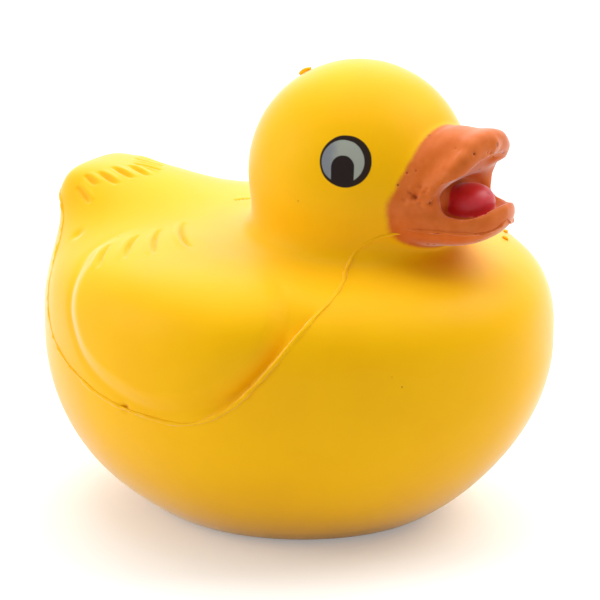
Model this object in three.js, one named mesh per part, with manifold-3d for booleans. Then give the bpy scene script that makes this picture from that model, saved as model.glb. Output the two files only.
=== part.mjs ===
// A solid foam duck, moulded in one piece: body, wings, tail, neck, head, open bill and tongue.
// Sizes are in millimetres and angles in degrees. The duck faces -Y and stands on its flat base at z = 0.
import * as THREE from "three";
import { mergeVertices } from "three/addons/utils/BufferGeometryUtils.js";
import Module from "manifold-3d";

// Body: an egg whose widest level lies high, cut flat underneath.
const BODY_HALF_WIDTH = 40.4;
const BODY_FRONT = 44.2;
const BODY_BACK = 46.2;
const SHOULDER_RISE = 19.4;
const BELLY_DROP = 36;
const BASE_CUT = 5.6;
const PLAN_POWER = 1.91;
const SHOULDER_POWER = 3.45;
const BREAST_POWER = 1.79;
const RUMP_POWER = 2.21;
const WIDEST_LEVEL = BELLY_DROP - BASE_CUT;
const SHOULDER_LEVEL = WIDEST_LEVEL + SHOULDER_RISE;

// Tail: a broad flat wedge that leans up towards its trailing edge.
const TAIL_HALF_WIDTH = 9;
const TAIL_HALF_LENGTH = 10.7;
const TAIL_HALF_THICKNESS = 4.8;
const TAIL_PLAN_POWER = 3.55;
const TAIL_SIDE_POWER = 2.4;
const TAIL_TILT = 17.7;
const TAIL_INSET = 10.8;
const TAIL_DROP = 2;
const TAIL_BLEND = 15.6;
const TAIL_BACK = BODY_BACK - TAIL_INSET;
const TAIL_LEVEL = SHOULDER_LEVEL - TAIL_DROP;

// Head and neck.
const HEAD_RADIUS = 18.4;
const HEAD_FORWARD = 11.5;
const HEAD_RISE = 10.5;
const NECK_RADIUS = 15;
const NECK_HALF_HEIGHT = 13;
const NECK_DROP = 0.8;
const NECK_BLEND = 4;
const NECK_FOOT_BLEND = 9;
const NECK_FOOT_MARGIN = 6;
const NECK_FOOT_DROP = 1.3;
const CHIN_ELEVATION = -28;
const NAPE_ELEVATION = -16;
const HEAD_LEVEL = SHOULDER_LEVEL + HEAD_RISE;
const FACE_FORWARD = HEAD_FORWARD + HEAD_RADIUS;
const NECK_LEVEL = SHOULDER_LEVEL - NECK_DROP;
const NECK_FOOT_RADIUS = NECK_RADIUS + NECK_FOOT_MARGIN;
const NECK_FOOT_LEVEL = SHOULDER_LEVEL - NECK_FOOT_DROP;

// Wings: low raised panels. The outline is kept as azimuth from the breast and elevation from the body's
// centre.
const WING_CENTRE = [98, 19];
const WING_OUTLINE = [
  [90, -4],
  [104, -2.5],
  [116, 2],
  [123, 9],
  [130, 19],
  [138, 26],
  [143, 42],
  [115, 48],
  [80, 43],
  [61, 26],
  [64, 10],
  [74, 1],
];
const WING_RISE = 1.1;
const WING_EDGE_RISE = 0.9;
const WING_TOP_FADE = 1.2;
const WING_DEPTH = 4;

// Feather slits: in the wings as the azimuth and elevation of both ends, and in the trailing edge of the tail
// as the distance from the middle, the distance behind the tail's centre and the length.
const WING_SLITS = [
  [134, 27, 123, 22],
  [136, 33, 120, 27],
  [138, 38, 115, 32],
  [143, 44, 108, 39],
];
const TAIL_SLITS = [
  [1.3, 0.6, 6],
  [3.4, 2.5, 6.4],
  [5.8, 3.2, 5.6],
  [7.7, 4.6, 3.8],
  [9.6, 4.9, 4.7],
];
const TAIL_SLIT_SPREAD = 0.2;
const WING_SLIT_LIFT = 0.4;
const SLIT_WIDTH = 1.3;
const SLIT_DEPTH = 1.1;

// Mould seam: a low bead. On the trunk it is kept as azimuth and elevation like the wings, and then on the
// head as azimuth and elevation from the head's centre, until it meets the bill.
const SEAM_BEAD = 0.4;
const TRUNK_SEAM = [
  [180, 23],
  [167, 21],
  [147, 12],
  [134, 2],
  [118, -4],
  [95, -7],
  [80, -6],
  [66, 5],
  [52, 21],
  [42, 32],
];
const HEAD_SEAM = [
  [60, -29],
  [54, -24],
  [44, -19],
  [33, -17],
  [29, -16],
];

// Bill: a muzzle on the face, an arched upper flap with a rolled lip, and a lower scoop with a thick rim.
// Reaches are measured forward from the front of the head, and rises and drops from the head's centre.
const MUZZLE_HALF_WIDTH = 11.6;
const MUZZLE_HALF_LENGTH = 8.3;
const MUZZLE_HALF_HEIGHT = 8.6;
const MUZZLE_REACH = -4.9;
const MUZZLE_DROP = 0.7;
const MUZZLE_FORWARD = FACE_FORWARD + MUZZLE_REACH;
const MUZZLE_LEVEL = HEAD_LEVEL - MUZZLE_DROP;
const ROOT_REACH = -5.9;
const BILL_ROOT = FACE_FORWARD + ROOT_REACH;
const BILL_BLEND = 2.6;
const FLAP_BLEND = 0.8;
const MOUTH_ANGLE = 52;
const CORNER_REACH = 1.3;
const CORNER_DROP = 0.2;
const CORNER_FORWARD = FACE_FORWARD + CORNER_REACH;
const CORNER_LEVEL = HEAD_LEVEL - CORNER_DROP;
const UPPER_REACH = 7.8;
const UPPER_TIP = FACE_FORWARD + UPPER_REACH;
const UPPER_HALF_WIDTH = 7.1;
const UPPER_FLARE = 3.2;
const UPPER_PLAN_POWER = 3.4;
const UPPER_ARCH_POWER = 2.3;
const UPPER_RISE = 10.3;
const UPPER_TOP = HEAD_LEVEL + UPPER_RISE;
const FOREHEAD_SAG = 3.4;
const FLAP_THICKNESS = 2.4;
const PALATE_ARCH = 1.6;
const LIP_RADIUS = 1.3;
const LIP_BLEND = 2.2;
const LOWER_REACH = 10.5;
const LOWER_TIP = FACE_FORWARD + LOWER_REACH;
const LOWER_HALF_WIDTH = 9.1;
const LOWER_FLARE = 1.2;
const LOWER_PLAN_POWER = 2.4;
const KEEL_POWER = 2.2;
const LOWER_SEAM_DROP = 4.7;
const LOWER_RIM_DROP = 3;
const LOWER_BOTTOM_DROP = 9.2;
const LOWER_TIP_LIFT = 1.5;
const RIM_ROUND = 2.2;
const HOLLOW_HALF_WIDTH = 6.8;
const HOLLOW_HALF_LENGTH = 4.6;
const HOLLOW_HALF_HEIGHT = 3.1;
const HOLLOW_REACH = 4.3;
const HOLLOW_DROP = 0.9;

// Middle line of the rolled lip, from the corner of the mouth to the tip: the distance from the middle, the
// reach and the rise.
const LIP_LINE = [
  [8, 0.3, -0.3],
  [8.3, 1.6, 1.3],
  [8, 2.9, 3.2],
  [7.1, 4.2, 5.2],
  [5.6, 5.4, 6.8],
  [3.6, 6, 7.8],
  [1.7, 6.4, 8.2],
  [0, 6.5, 8.3],
].map(([aside, reach, rise]) => new THREE.Vector3(aside, -(FACE_FORWARD + reach), HEAD_LEVEL + rise));

// Tongue.
const TONGUE_HALF_WIDTH = 4.1;
const TONGUE_HALF_LENGTH = 4.4;
const TONGUE_HALF_HEIGHT = 3.4;
const TONGUE_REACH = 3.1;
const TONGUE_DROP = 2.35;
const TONGUE_TILT = 12;
const TONGUE_FORWARD = FACE_FORWARD + TONGUE_REACH;
const TONGUE_LEVEL = HEAD_LEVEL - TONGUE_DROP;

// Sprue nub: a flake of foam left where the mould was filled.
const NUB_HALF_LENGTH = 1.2;
const NUB_HALF_WIDTH = 0.7;
const NUB_HALF_HEIGHT = 0.55;
const NUB_ASIDE = 1.5;
const NUB_BEHIND_CENTRE = 9.7;
const NUB_STANDOFF = 0.25;

// Fineness of the mesh.
const COLUMNS = 66;
const COLUMN_CROWDING = 0.4;
const BODY_ROWS = 22;
const NECK_ROWS = 5;
const HEAD_ROWS = 11;
const WING_COLUMNS = 40;
const SEAM_STEPS = 34;
const BILL_EDGE = 1.25;
const BILL_TOLERANCE = 0.055;
const BILL_CLOSENESS = 0.001;

const rad = THREE.MathUtils.degToRad;
const BODY_CENTRE = new THREE.Vector3(0, 0, WIDEST_LEVEL);
const HEAD_CENTRE = new THREE.Vector3(0, -HEAD_FORWARD, HEAD_LEVEL);

// Joins two distances so that the surfaces run into each other over the length `blend`.
function softUnion(a, b, blend) {
  const share = THREE.MathUtils.clamp(0.5 + (0.5 * (b - a)) / blend, 0, 1);
  return b * (1 - share) + a * share - blend * share * (1 - share);
}

// Size of a point against a rounded box or egg with the given half sizes and powers: 1 on its surface.
function eggScale(x, y, z, halfX, halfY, halfZ, planPower, sidePower) {
  const plan = (Math.abs(x / halfX) ** planPower + Math.abs(y / halfY) ** planPower) ** (1 / planPower);
  return (plan ** sidePower + Math.abs(z / halfZ) ** sidePower) ** (1 / sidePower);
}

// How far a point lies outside such an egg.
function eggDistance(x, y, z, ...shape) {
  return Math.hypot(x, y, z) * (1 - 1 / Math.max(eggScale(x, y, z, ...shape), 1e-6));
}

// The skin of such an egg round the origin.
function eggGeometry(columns, rows, ...shape) {
  const geometry = new THREE.SphereGeometry(1, columns, rows);
  const place = geometry.attributes.position;
  for (let i = 0; i < place.count; i += 1) {
    const p = new THREE.Vector3().fromBufferAttribute(place, i);
    p.divideScalar(eggScale(p.x, p.y, p.z, ...shape));
    place.setXYZ(i, p.x, p.y, p.z);
  }
  return geometry;
}

function bodyDistance(p) {
  const z = p.z - WIDEST_LEVEL;
  const frontShare = 0.5 - (0.5 * p.y) / (Math.hypot(p.x, p.y, z) + 1e-6);
  const length = p.y < 0 ? BODY_FRONT : BODY_BACK;
  const belly = RUMP_POWER + (BREAST_POWER - RUMP_POWER) * frontShare;
  const power = z > 0 ? SHOULDER_POWER : belly;
  const height = z > 0 ? SHOULDER_RISE : BELLY_DROP;
  return eggDistance(p.x, p.y, z, BODY_HALF_WIDTH, length, height, PLAN_POWER, power);
}

function tailDistance(p) {
  const y = p.y - TAIL_BACK;
  const z = p.z - TAIL_LEVEL;
  const along = y * Math.cos(rad(TAIL_TILT)) + z * Math.sin(rad(TAIL_TILT));
  const across = z * Math.cos(rad(TAIL_TILT)) - y * Math.sin(rad(TAIL_TILT));
  return eggDistance(
    p.x,
    along,
    across,
    TAIL_HALF_WIDTH,
    TAIL_HALF_LENGTH,
    TAIL_HALF_THICKNESS,
    TAIL_PLAN_POWER,
    TAIL_SIDE_POWER,
  );
}

function trunkDistance(p) {
  return softUnion(bodyDistance(p), tailDistance(p), TAIL_BLEND);
}

function duckDistance(p) {
  const y = p.y + HEAD_FORWARD;
  const neck = eggDistance(p.x, y, p.z - NECK_LEVEL, NECK_RADIUS, NECK_RADIUS, NECK_HALF_HEIGHT, 2, 3);
  const head = p.distanceTo(HEAD_CENTRE) - HEAD_RADIUS;
  return softUnion(softUnion(trunkDistance(p), neck, NECK_FOOT_BLEND), head, NECK_BLEND);
}

// Walks out along a ray from a point inside and returns where it leaves the solid.
function exitPoint(origin, direction, distance) {
  const at = (t) => origin.clone().addScaledVector(direction, t);
  let inside = 0;
  let outside = 1;
  while (distance(at(outside)) < 0) {
    inside = outside;
    outside += 1;
  }
  for (let i = 0; i < 18; i += 1) {
    const middle = (inside + outside) / 2;
    if (distance(at(middle)) < 0) inside = middle;
    else outside = middle;
  }
  return at((inside + outside) / 2);
}

// Azimuth 0 looks out of the breast and grows towards the duck's right side, -X.
function direction(azimuth, elevation) {
  const flat = Math.cos(rad(elevation));
  return new THREE.Vector3(
    -flat * Math.sin(rad(azimuth)),
    -flat * Math.cos(rad(azimuth)),
    Math.sin(rad(elevation)),
  );
}

// A point of the trunk seen from the body's centre, moved out by `offset`.
function trunkPoint(azimuth, elevation, offset) {
  const out = direction(azimuth, elevation);
  return exitPoint(BODY_CENTRE, out, trunkDistance).addScaledVector(out, offset);
}

// Closes a stack of equal rings with a fan at each end. `first` and `last` are the middle points of the fans.
function stackGeometry(rings, first, last) {
  const count = rings[0].length;
  const points = [first, ...rings.flat(), last];
  const top = points.length - 1;
  const faces = [];
  for (let i = 0; i < count; i += 1) {
    const j = (i + 1) % count;
    faces.push(0, 1 + j, 1 + i);
    for (let row = 0; row < rings.length - 1; row += 1) {
      const a = 1 + row * count;
      const b = a + count;
      faces.push(a + i, a + j, b + j, a + i, b + j, b + i);
    }
    const edge = 1 + (rings.length - 1) * count;
    faces.push(top, edge + i, edge + j);
  }
  const geometry = new THREE.BufferGeometry().setFromPoints(points);
  geometry.setIndex(faces);
  return geometry;
}

// Angle round the body of a column, closer together at the tail than at the breast.
function columnAngle(u) {
  return -360 * u - (COLUMN_CROWDING * 180 * Math.sin(2 * Math.PI * u)) / Math.PI;
}

function ringOf(count, makePoint) {
  return Array.from({ length: count }, (unused, i) => makePoint(i / count));
}

// The skin of body, tail, neck and head. Each column of points climbs from the flat base round the body to the
// foot of the neck, seen from the body's centre, and then up the neck and over the head on a rising centre.
function duckSkin() {
  const base = new THREE.Vector3(0, 0, 0);
  const columns = ringOf(COLUMNS, (u) => {
    const azimuth = columnAngle(u);
    const level = direction(azimuth, 0);
    const backShare = 0.5 - 0.5 * Math.cos(rad(azimuth));
    const chin = THREE.MathUtils.lerp(CHIN_ELEVATION, NAPE_ELEVATION, backShare);
    const start = exitPoint(base, level, duckDistance);
    const low = start.clone().sub(BODY_CENTRE).normalize();
    const foot = new THREE.Vector3(0, -HEAD_FORWARD, NECK_FOOT_LEVEL);
    foot.addScaledVector(level, NECK_FOOT_RADIUS);
    const high = foot.clone().sub(BODY_CENTRE).normalize();
    const axis = low.clone().cross(high).normalize();
    const turn = low.angleTo(high);
    const points = [start];
    for (let row = 1; row <= BODY_ROWS; row += 1) {
      const out = low.clone().applyAxisAngle(axis, (turn * row) / BODY_ROWS);
      points.push(exitPoint(BODY_CENTRE, out, duckDistance));
    }
    const footPoint = points[points.length - 1];
    const chinPoint = HEAD_CENTRE.clone().addScaledVector(direction(azimuth, chin), HEAD_RADIUS);
    for (let row = 1; row <= NECK_ROWS; row += 1) {
      const share = row / NECK_ROWS;
      const origin = BODY_CENTRE.clone().lerp(HEAD_CENTRE, share);
      const out = footPoint.clone().lerp(chinPoint, share).sub(origin).normalize();
      points.push(exitPoint(origin, out, duckDistance));
    }
    for (let row = 1; row < HEAD_ROWS; row += 1) {
      const elevation = THREE.MathUtils.lerp(chin, 90, row / HEAD_ROWS);
      points.push(exitPoint(HEAD_CENTRE, direction(azimuth, elevation), duckDistance));
    }
    return points;
  });
  const rings = columns[0].map((unused, row) => columns.map((points) => points[row]));
  return stackGeometry(rings, base, exitPoint(HEAD_CENTRE, direction(0, 90), duckDistance));
}

// One wing panel on side +1, the duck's right, or -1. It thins out to nothing along its top edge.
function wingPanel(side) {
  const outline = new THREE.CatmullRomCurve3(
    WING_OUTLINE.map(([azimuth, elevation]) => new THREE.Vector3(azimuth, elevation, 0)),
    true,
  );
  const place = (u, share) => {
    const edge = outline.getPoint(side > 0 ? 1 - u : u);
    return [
      THREE.MathUtils.lerp(WING_CENTRE[0], edge.x, share),
      THREE.MathUtils.lerp(WING_CENTRE[1], edge.y, share),
    ];
  };
  const upperRing = (share) =>
    ringOf(WING_COLUMNS, (u) => {
      const [azimuth, elevation] = place(u, share);
      const fade = THREE.MathUtils.smoothstep(elevation, 20, 40) * (WING_EDGE_RISE + WING_TOP_FADE);
      const rise = THREE.MathUtils.lerp(WING_RISE, WING_EDGE_RISE, share ** 2) - fade * share ** 2;
      return trunkPoint(side * azimuth, elevation, rise);
    });
  const lowerRing = (share) =>
    ringOf(WING_COLUMNS, (u) => {
      const [azimuth, elevation] = place(u, share);
      return trunkPoint(side * azimuth, elevation, -WING_DEPTH);
    });
  const under = trunkPoint(side * WING_CENTRE[0], WING_CENTRE[1], -2 * WING_DEPTH);
  const top = trunkPoint(side * WING_CENTRE[0], WING_CENTRE[1], WING_RISE);
  const rings = [lowerRing(0.97), upperRing(1), upperRing(0.8), upperRing(0.55), upperRing(0.28)];
  return stackGeometry(rings, under, top);
}

// A slender boat-shaped cutter whose deck line runs through the given surface points.
function slitCutter(points, outward) {
  const curve = new THREE.CatmullRomCurve3(points);
  const steps = 8;
  const rings = [];
  for (let i = 1; i < steps; i += 1) {
    const share = i / steps;
    const centre = curve.getPoint(share);
    const across = curve.getTangent(share).cross(outward).normalize();
    const swell = Math.sin(Math.PI * share) ** 0.6;
    rings.push(
      [-1, 0, 1].map((k) =>
        centre
          .clone()
          .addScaledVector(across, (k * SLIT_WIDTH * swell) / 2)
          .addScaledVector(outward, k === 0 ? -SLIT_DEPTH * swell : 1.6),
      ),
    );
  }
  return stackGeometry(rings, curve.getPoint(0), curve.getPoint(1));
}

function wingSlit(side, [azimuthA, elevationA, azimuthB, elevationB]) {
  const point = (share) =>
    trunkPoint(
      side * THREE.MathUtils.lerp(azimuthA, azimuthB, share),
      THREE.MathUtils.lerp(elevationA, elevationB, share),
      WING_SLIT_LIFT,
    );
  const outward = point(0.5).sub(BODY_CENTRE).normalize();
  return slitCutter([point(0), point(0.5), point(1)], outward);
}

function tailSlit(side, [offset, back, length]) {
  const above = (share) => {
    const x = side * (offset + share * length * TAIL_SLIT_SPREAD);
    const under = new THREE.Vector3(x, TAIL_BACK + back - share * length, TAIL_LEVEL - 2);
    return exitPoint(under, new THREE.Vector3(0, 0, 1), trunkDistance);
  };
  return slitCutter([above(0), above(0.5), above(1)], new THREE.Vector3(0, 0, 1));
}

// The raised line where the halves of the mould met, on one side.
function seamBead(side) {
  const route = (path) =>
    new THREE.CatmullRomCurve3(path.map(([azimuth, elevation]) => new THREE.Vector3(azimuth, elevation, 0)));
  const onTrunk = route(TRUNK_SEAM).getPoints(SEAM_STEPS).map((at) => trunkPoint(side * at.x, at.y, 0));
  const onHead = route(HEAD_SEAM)
    .getPoints(6)
    .map((at) => exitPoint(HEAD_CENTRE, direction(side * at.x, at.y), duckDistance));
  const section = new THREE.Shape();
  section.absarc(0, 0, SEAM_BEAD, 0, Math.PI * 2);
  return new THREE.ExtrudeGeometry(section, {
    extrudePath: new THREE.CatmullRomCurve3([...onTrunk, ...onHead]),
    steps: SEAM_STEPS + 10,
    curveSegments: 2,
    bevelEnabled: false,
  });
}

// A quarter of a round end: 1 at the root, falling to 0 at the tip.
function roundEnd(share, power) {
  return Math.max(1 - share ** power, 0) ** (1 / power);
}

// Keeps what lies in both forms, with the edge between them rounded.
function softMeet(a, b, blend) {
  return -softUnion(-a, -b, blend);
}

// The rolled lip: the shortest way to the spans of its middle line, less the radius of the roll.
function lipDistance(p) {
  const here = new THREE.Vector3(Math.abs(p.x), p.y, p.z);
  const nearest = new THREE.Vector3();
  const gaps = LIP_LINE.slice(1).map((end, i) => {
    new THREE.Line3(LIP_LINE[i], end).closestPointToPoint(here, true, nearest);
    return nearest.distanceTo(here);
  });
  return Math.min(...gaps) - LIP_RADIUS;
}

// The upper flap: arches over a lower edge that climbs forward from the corners of the mouth, with a hollow
// palate.
function upperDistance(p) {
  const forward = -p.y;
  const share = THREE.MathUtils.clamp((forward - BILL_ROOT) / (UPPER_TIP - BILL_ROOT), 0, 1);
  const flare = UPPER_FLARE * (1 - share) ** 1.5;
  const half = Math.max(UPPER_HALF_WIDTH * roundEnd(share, UPPER_PLAN_POWER) + flare, 0.2);
  const top = UPPER_TOP - FOREHEAD_SAG * (1 - Math.min(share * 1.9, 1)) ** 2 - share ** 14;
  const climb = (forward - CORNER_FORWARD) * Math.tan(rad(MOUTH_ANGLE));
  const edge = THREE.MathUtils.clamp(CORNER_LEVEL + climb, CORNER_LEVEL - 2, top - FLAP_THICKNESS);
  const height = top - edge;
  const aside = Math.abs(p.x / half);
  const rise = Math.max(p.z - edge, 0) / height;
  const arch = (aside ** UPPER_ARCH_POWER + rise ** UPPER_ARCH_POWER) ** (1 / UPPER_ARCH_POWER) - 1;
  const palate = edge - 0.2 + PALATE_ARCH * (1 - Math.min(aside, 1.2) ** 2);
  const under = (palate - p.z) * Math.cos(rad(MOUTH_ANGLE));
  const flap = softMeet(softMeet(arch * Math.min(half, height), under, 1), forward - UPPER_TIP, 1.2);
  return softUnion(flap, lipDistance(p), LIP_BLEND);
}

// The lower scoop: a round keel under the mould seam and a rim with a round edge above it.
function lowerDistance(p) {
  const forward = -p.y;
  const share = THREE.MathUtils.clamp((forward - BILL_ROOT) / (LOWER_TIP - BILL_ROOT), 0, 1);
  const flare = LOWER_FLARE * (1 - share) ** 1.5;
  const half = Math.max(LOWER_HALF_WIDTH * roundEnd(share, LOWER_PLAN_POWER) + flare, 0.2);
  const seam = HEAD_LEVEL - LOWER_SEAM_DROP + LOWER_TIP_LIFT * share ** 4;
  const root = HEAD_LEVEL - LOWER_BOTTOM_DROP;
  const depth = seam - root - (seam - root - 1.2) * share ** 4;
  const aside = Math.abs(p.x / half);
  const drop = Math.max(seam - p.z, 0) / depth;
  const keel = (aside ** KEEL_POWER + drop ** KEEL_POWER) ** (1 / KEEL_POWER) - 1;
  const rim = p.z - (HEAD_LEVEL - LOWER_RIM_DROP + LOWER_TIP_LIFT * share ** 3);
  return softMeet(softMeet(keel * Math.min(half, depth), rim, RIM_ROUND), forward - LOWER_TIP, 1.2);
}

function muzzleDistance(p) {
  const y = p.y + MUZZLE_FORWARD;
  const z = p.z - MUZZLE_LEVEL;
  return eggDistance(p.x, y, z, MUZZLE_HALF_WIDTH, MUZZLE_HALF_LENGTH, MUZZLE_HALF_HEIGHT, 2, 2);
}

// Muzzle and flaps before the mouth is hollowed.
function billDistance(p) {
  const flaps = softUnion(upperDistance(p), lowerDistance(p), FLAP_BLEND);
  return softUnion(flaps, muzzleDistance(p), BILL_BLEND);
}

function mouthHollow() {
  const geometry = eggGeometry(20, 14, HOLLOW_HALF_WIDTH, HOLLOW_HALF_LENGTH, HOLLOW_HALF_HEIGHT, 2.2, 3);
  geometry.translate(0, -(FACE_FORWARD + HOLLOW_REACH), HEAD_LEVEL - HOLLOW_DROP);
  return geometry;
}

function tongue() {
  const geometry = eggGeometry(20, 14, TONGUE_HALF_WIDTH, TONGUE_HALF_LENGTH, TONGUE_HALF_HEIGHT, 2.2, 2.1);
  geometry.rotateX(-rad(TONGUE_TILT));
  geometry.translate(0, -TONGUE_FORWARD, TONGUE_LEVEL);
  return geometry;
}

// The nub leans with the skin that it lies on.
function sprueNub() {
  const geometry = eggGeometry(12, 8, NUB_HALF_WIDTH, NUB_HALF_LENGTH, NUB_HALF_HEIGHT, 2, 2);
  geometry.rotateX(-Math.asin(NUB_BEHIND_CENTRE / HEAD_RADIUS));
  const under = new THREE.Vector3(-NUB_ASIDE, NUB_BEHIND_CENTRE - HEAD_FORWARD, HEAD_LEVEL);
  const place = exitPoint(under, new THREE.Vector3(0, 0, 1), duckDistance);
  geometry.translate(place.x, place.y, place.z + NUB_STANDOFF);
  return geometry;
}

const wasm = await Module();
wasm.setup();

function solid(geometry) {
  geometry.deleteAttribute("normal");
  geometry.deleteAttribute("uv");
  const merged = mergeVertices(geometry, 1e-4);
  const vertProperties = new Float32Array(merged.attributes.position.array);
  const triVerts = new Uint32Array(merged.index.array);
  const made = new wasm.Manifold(new wasm.Mesh({ numProp: 3, vertProperties, triVerts }));
  if (made.volume() > 0) return made;
  for (let i = 0; i < triVerts.length; i += 3) {
    [triVerts[i + 1], triVerts[i + 2]] = [triVerts[i + 2], triVerts[i + 1]];
  }
  return new wasm.Manifold(new wasm.Mesh({ numProp: 3, vertProperties, triVerts }));
}

function meshOf(name, body, material) {
  const result = body.getMesh();
  const geometry = new THREE.BufferGeometry();
  geometry.setAttribute("position", new THREE.BufferAttribute(new Float32Array(result.vertProperties), 3));
  geometry.setIndex(new THREE.BufferAttribute(new Uint32Array(result.triVerts), 1));
  geometry.computeVertexNormals();
  const mesh = new THREE.Mesh(geometry, material);
  mesh.name = name;
  return mesh;
}

// The bill before the mouth is hollowed: the surface where its distance is zero, thinned where it is nearly
// flat.
function billSolid() {
  const side = MUZZLE_HALF_WIDTH + 2;
  const box = {
    min: [-side, -(LOWER_TIP + 2), HEAD_LEVEL - LOWER_BOTTOM_DROP - 2],
    max: [side, -(MUZZLE_FORWARD - MUZZLE_HALF_LENGTH), UPPER_TOP + 2],
  };
  const inside = ([x, y, z]) => -billDistance(new THREE.Vector3(x, y, z));
  return wasm.Manifold.levelSet(inside, box, BILL_EDGE, 0, BILL_CLOSENESS).simplify(BILL_TOLERANCE);
}

const raised = [wingPanel(1), wingPanel(-1), seamBead(1), seamBead(-1), sprueNub()];
const slits = [
  ...WING_SLITS.flatMap((slit) => [wingSlit(1, slit), wingSlit(-1, slit)]),
  ...TAIL_SLITS.flatMap((slit) => [tailSlit(1, slit), tailSlit(-1, slit)]),
];

let duck = solid(duckSkin());
for (const piece of raised) duck = duck.add(solid(piece));
for (const piece of slits) duck = duck.subtract(solid(piece));
duck = duck.add(billSolid()).subtract(solid(mouthHollow())).add(solid(tongue()));

const foam = new THREE.MeshStandardMaterial({ color: 0xf6c000, roughness: 0.55, metalness: 0 });
const model = new THREE.Group();
model.name = "duck_stress_ball";
model.add(meshOf("duck", duck, foam));

export default model;
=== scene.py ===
"""Visual model of the foam duck: one seamless skin with a painted bill, a painted tongue and printed eyes.

Shapes are worked out in millimetres as distances: each function gives how far a point lies outside a form,
and the skin is the surface where the joined distance is zero. The finished mesh is stored in metres.
The duck faces -Y, its right side is -X, and it stands on its flat base at z = 0.
"""

import logging
import math
from dataclasses import dataclass, field
from enum import Enum

import bpy
import numpy as np
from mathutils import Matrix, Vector


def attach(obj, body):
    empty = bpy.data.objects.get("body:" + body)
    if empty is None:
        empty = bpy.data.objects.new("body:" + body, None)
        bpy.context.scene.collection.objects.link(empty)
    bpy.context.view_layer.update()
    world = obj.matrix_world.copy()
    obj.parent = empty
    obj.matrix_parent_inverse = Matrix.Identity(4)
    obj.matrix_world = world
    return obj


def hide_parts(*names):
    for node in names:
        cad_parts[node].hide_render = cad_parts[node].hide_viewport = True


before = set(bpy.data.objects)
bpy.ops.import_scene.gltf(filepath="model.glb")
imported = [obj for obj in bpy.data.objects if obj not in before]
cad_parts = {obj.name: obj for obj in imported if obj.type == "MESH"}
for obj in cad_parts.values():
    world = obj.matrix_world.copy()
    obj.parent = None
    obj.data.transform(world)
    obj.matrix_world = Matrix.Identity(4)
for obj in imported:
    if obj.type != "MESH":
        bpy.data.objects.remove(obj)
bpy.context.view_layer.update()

LOG = logging.getLogger("duck")
Array = np.ndarray
METRES_PER_MM = 0.001
WHITE = (1.0, 1.0, 1.0, 1.0)

# Coat distance, in mm, of a point that no paint comes near.
UNPAINTED = -9.0

# Rough length of one degree of azimuth or elevation on the side of the trunk.
MM_PER_DEGREE = 0.66


class Axis(Enum):
    """The three directions that the edges of a grid cell run in."""

    X = 0
    Y = 1
    Z = 2


def soft_union(first: Array, second: Array, blend: float) -> Array:
    """Joins two distances so that their surfaces run into each other.

    Where the two differ by less than `blend`, the result dips under both by a parabola.

    Args:
        first: distances to one form, in mm.
        second: distances to the other form, in mm.
        blend: length over which the forms melt together, in mm.

    Returns:
        The joined distances, in mm.
    """
    share = np.clip(0.5 + 0.5 * (second - first) / blend, 0.0, 1.0)
    return second * (1.0 - share) + first * share - blend * share * (1.0 - share)


def soft_meet(first: Array, second: Array, blend: float) -> Array:
    """Keeps what lies in both forms, with the edge between them rounded over `blend` mm."""
    return -soft_union(-first, -second, blend)


def egg_distance(x: Array, y: Array, z: Array, half: tuple, plan_power: Array, side_power: Array) -> Array:
    """Distance outside a rounded box or egg.

    The point is scaled by the half sizes, the plan coordinates are joined with one power and the level with
    another, and the distance is the point's own length times one less the inverse of that scale.

    Args:
        x: position across the form, in mm from its centre.
        y: position along the form, in mm from its centre.
        z: level from the form's centre, in mm.
        half: half sizes across, along and up, in mm; each may be an array.
        plan_power: squareness of the plan, 2 for an ellipse.
        side_power: squareness of the side view.

    Returns:
        Distances in mm, negative inside.
    """
    plan = (np.abs(x / half[0]) ** plan_power + np.abs(y / half[1]) ** plan_power) ** (1.0 / plan_power)
    scale = (plan**side_power + np.abs(z / half[2]) ** side_power) ** (1.0 / side_power)
    reach = np.sqrt(x * x + y * y + z * z)
    return reach * (1.0 - 1.0 / np.maximum(scale, 1e-6))


def tilted(ahead: Array, rise: Array, tilt: float) -> tuple:
    """Turns offsets ahead and up into offsets along and across a direction that climbs by `tilt` degrees."""
    turn = math.radians(tilt)
    along = ahead * math.cos(turn) + rise * math.sin(turn)
    return along, rise * math.cos(turn) - ahead * math.sin(turn)


def arch_distance(across: Array, rise: Array, half: Array, height: Array, power: float) -> Array:
    """Distance outside an arch: both offsets are scaled by its sizes and joined with one power.

    One is taken off that scale, and the rest is multiplied by the smaller of the two sizes.

    Args:
        across: offset across the arch, in mm from its middle.
        rise: offset from the arch's foot towards its top, in mm.
        half: half width at the foot, in mm.
        height: height of the arch, in mm.
        power: squareness of the arch, 2 for an ellipse.

    Returns:
        Distances in mm, negative inside.
    """
    scale = (np.abs(across / half) ** power + (np.maximum(rise, 0.0) / height) ** power) ** (1.0 / power)
    return (scale - 1.0) * np.minimum(half, height)


def bell(offset: Array, width: float) -> Array:
    """Bell curve of an offset: one at nothing, and the inverse of e where the offset is the width."""
    return np.exp(-((offset / width) ** 2))


def on_right_side(points: Array) -> Array:
    """Copy of the points, with those on the duck's left mirrored to its right, where x is negative."""
    mirrored = points.copy()
    mirrored[:, 0] = -np.abs(mirrored[:, 0])
    return mirrored


def direction(azimuth: float, elevation: float) -> Vector:
    """Unit vector at two angles in degrees: azimuth 0 looks out of the breast and grows towards +X."""
    a, e = math.radians(azimuth), math.radians(elevation)
    return Vector((math.sin(a) * math.cos(e), -math.cos(a) * math.cos(e), math.sin(e)))


def smooth_step(low: float, high: float, value: Array) -> Array:
    """Zero under `low`, one over `high`, and a smooth cubic rise between them."""
    share = np.clip((value - low) / (high - low), 0.0, 1.0)
    return share * share * (3.0 - 2.0 * share)


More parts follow.
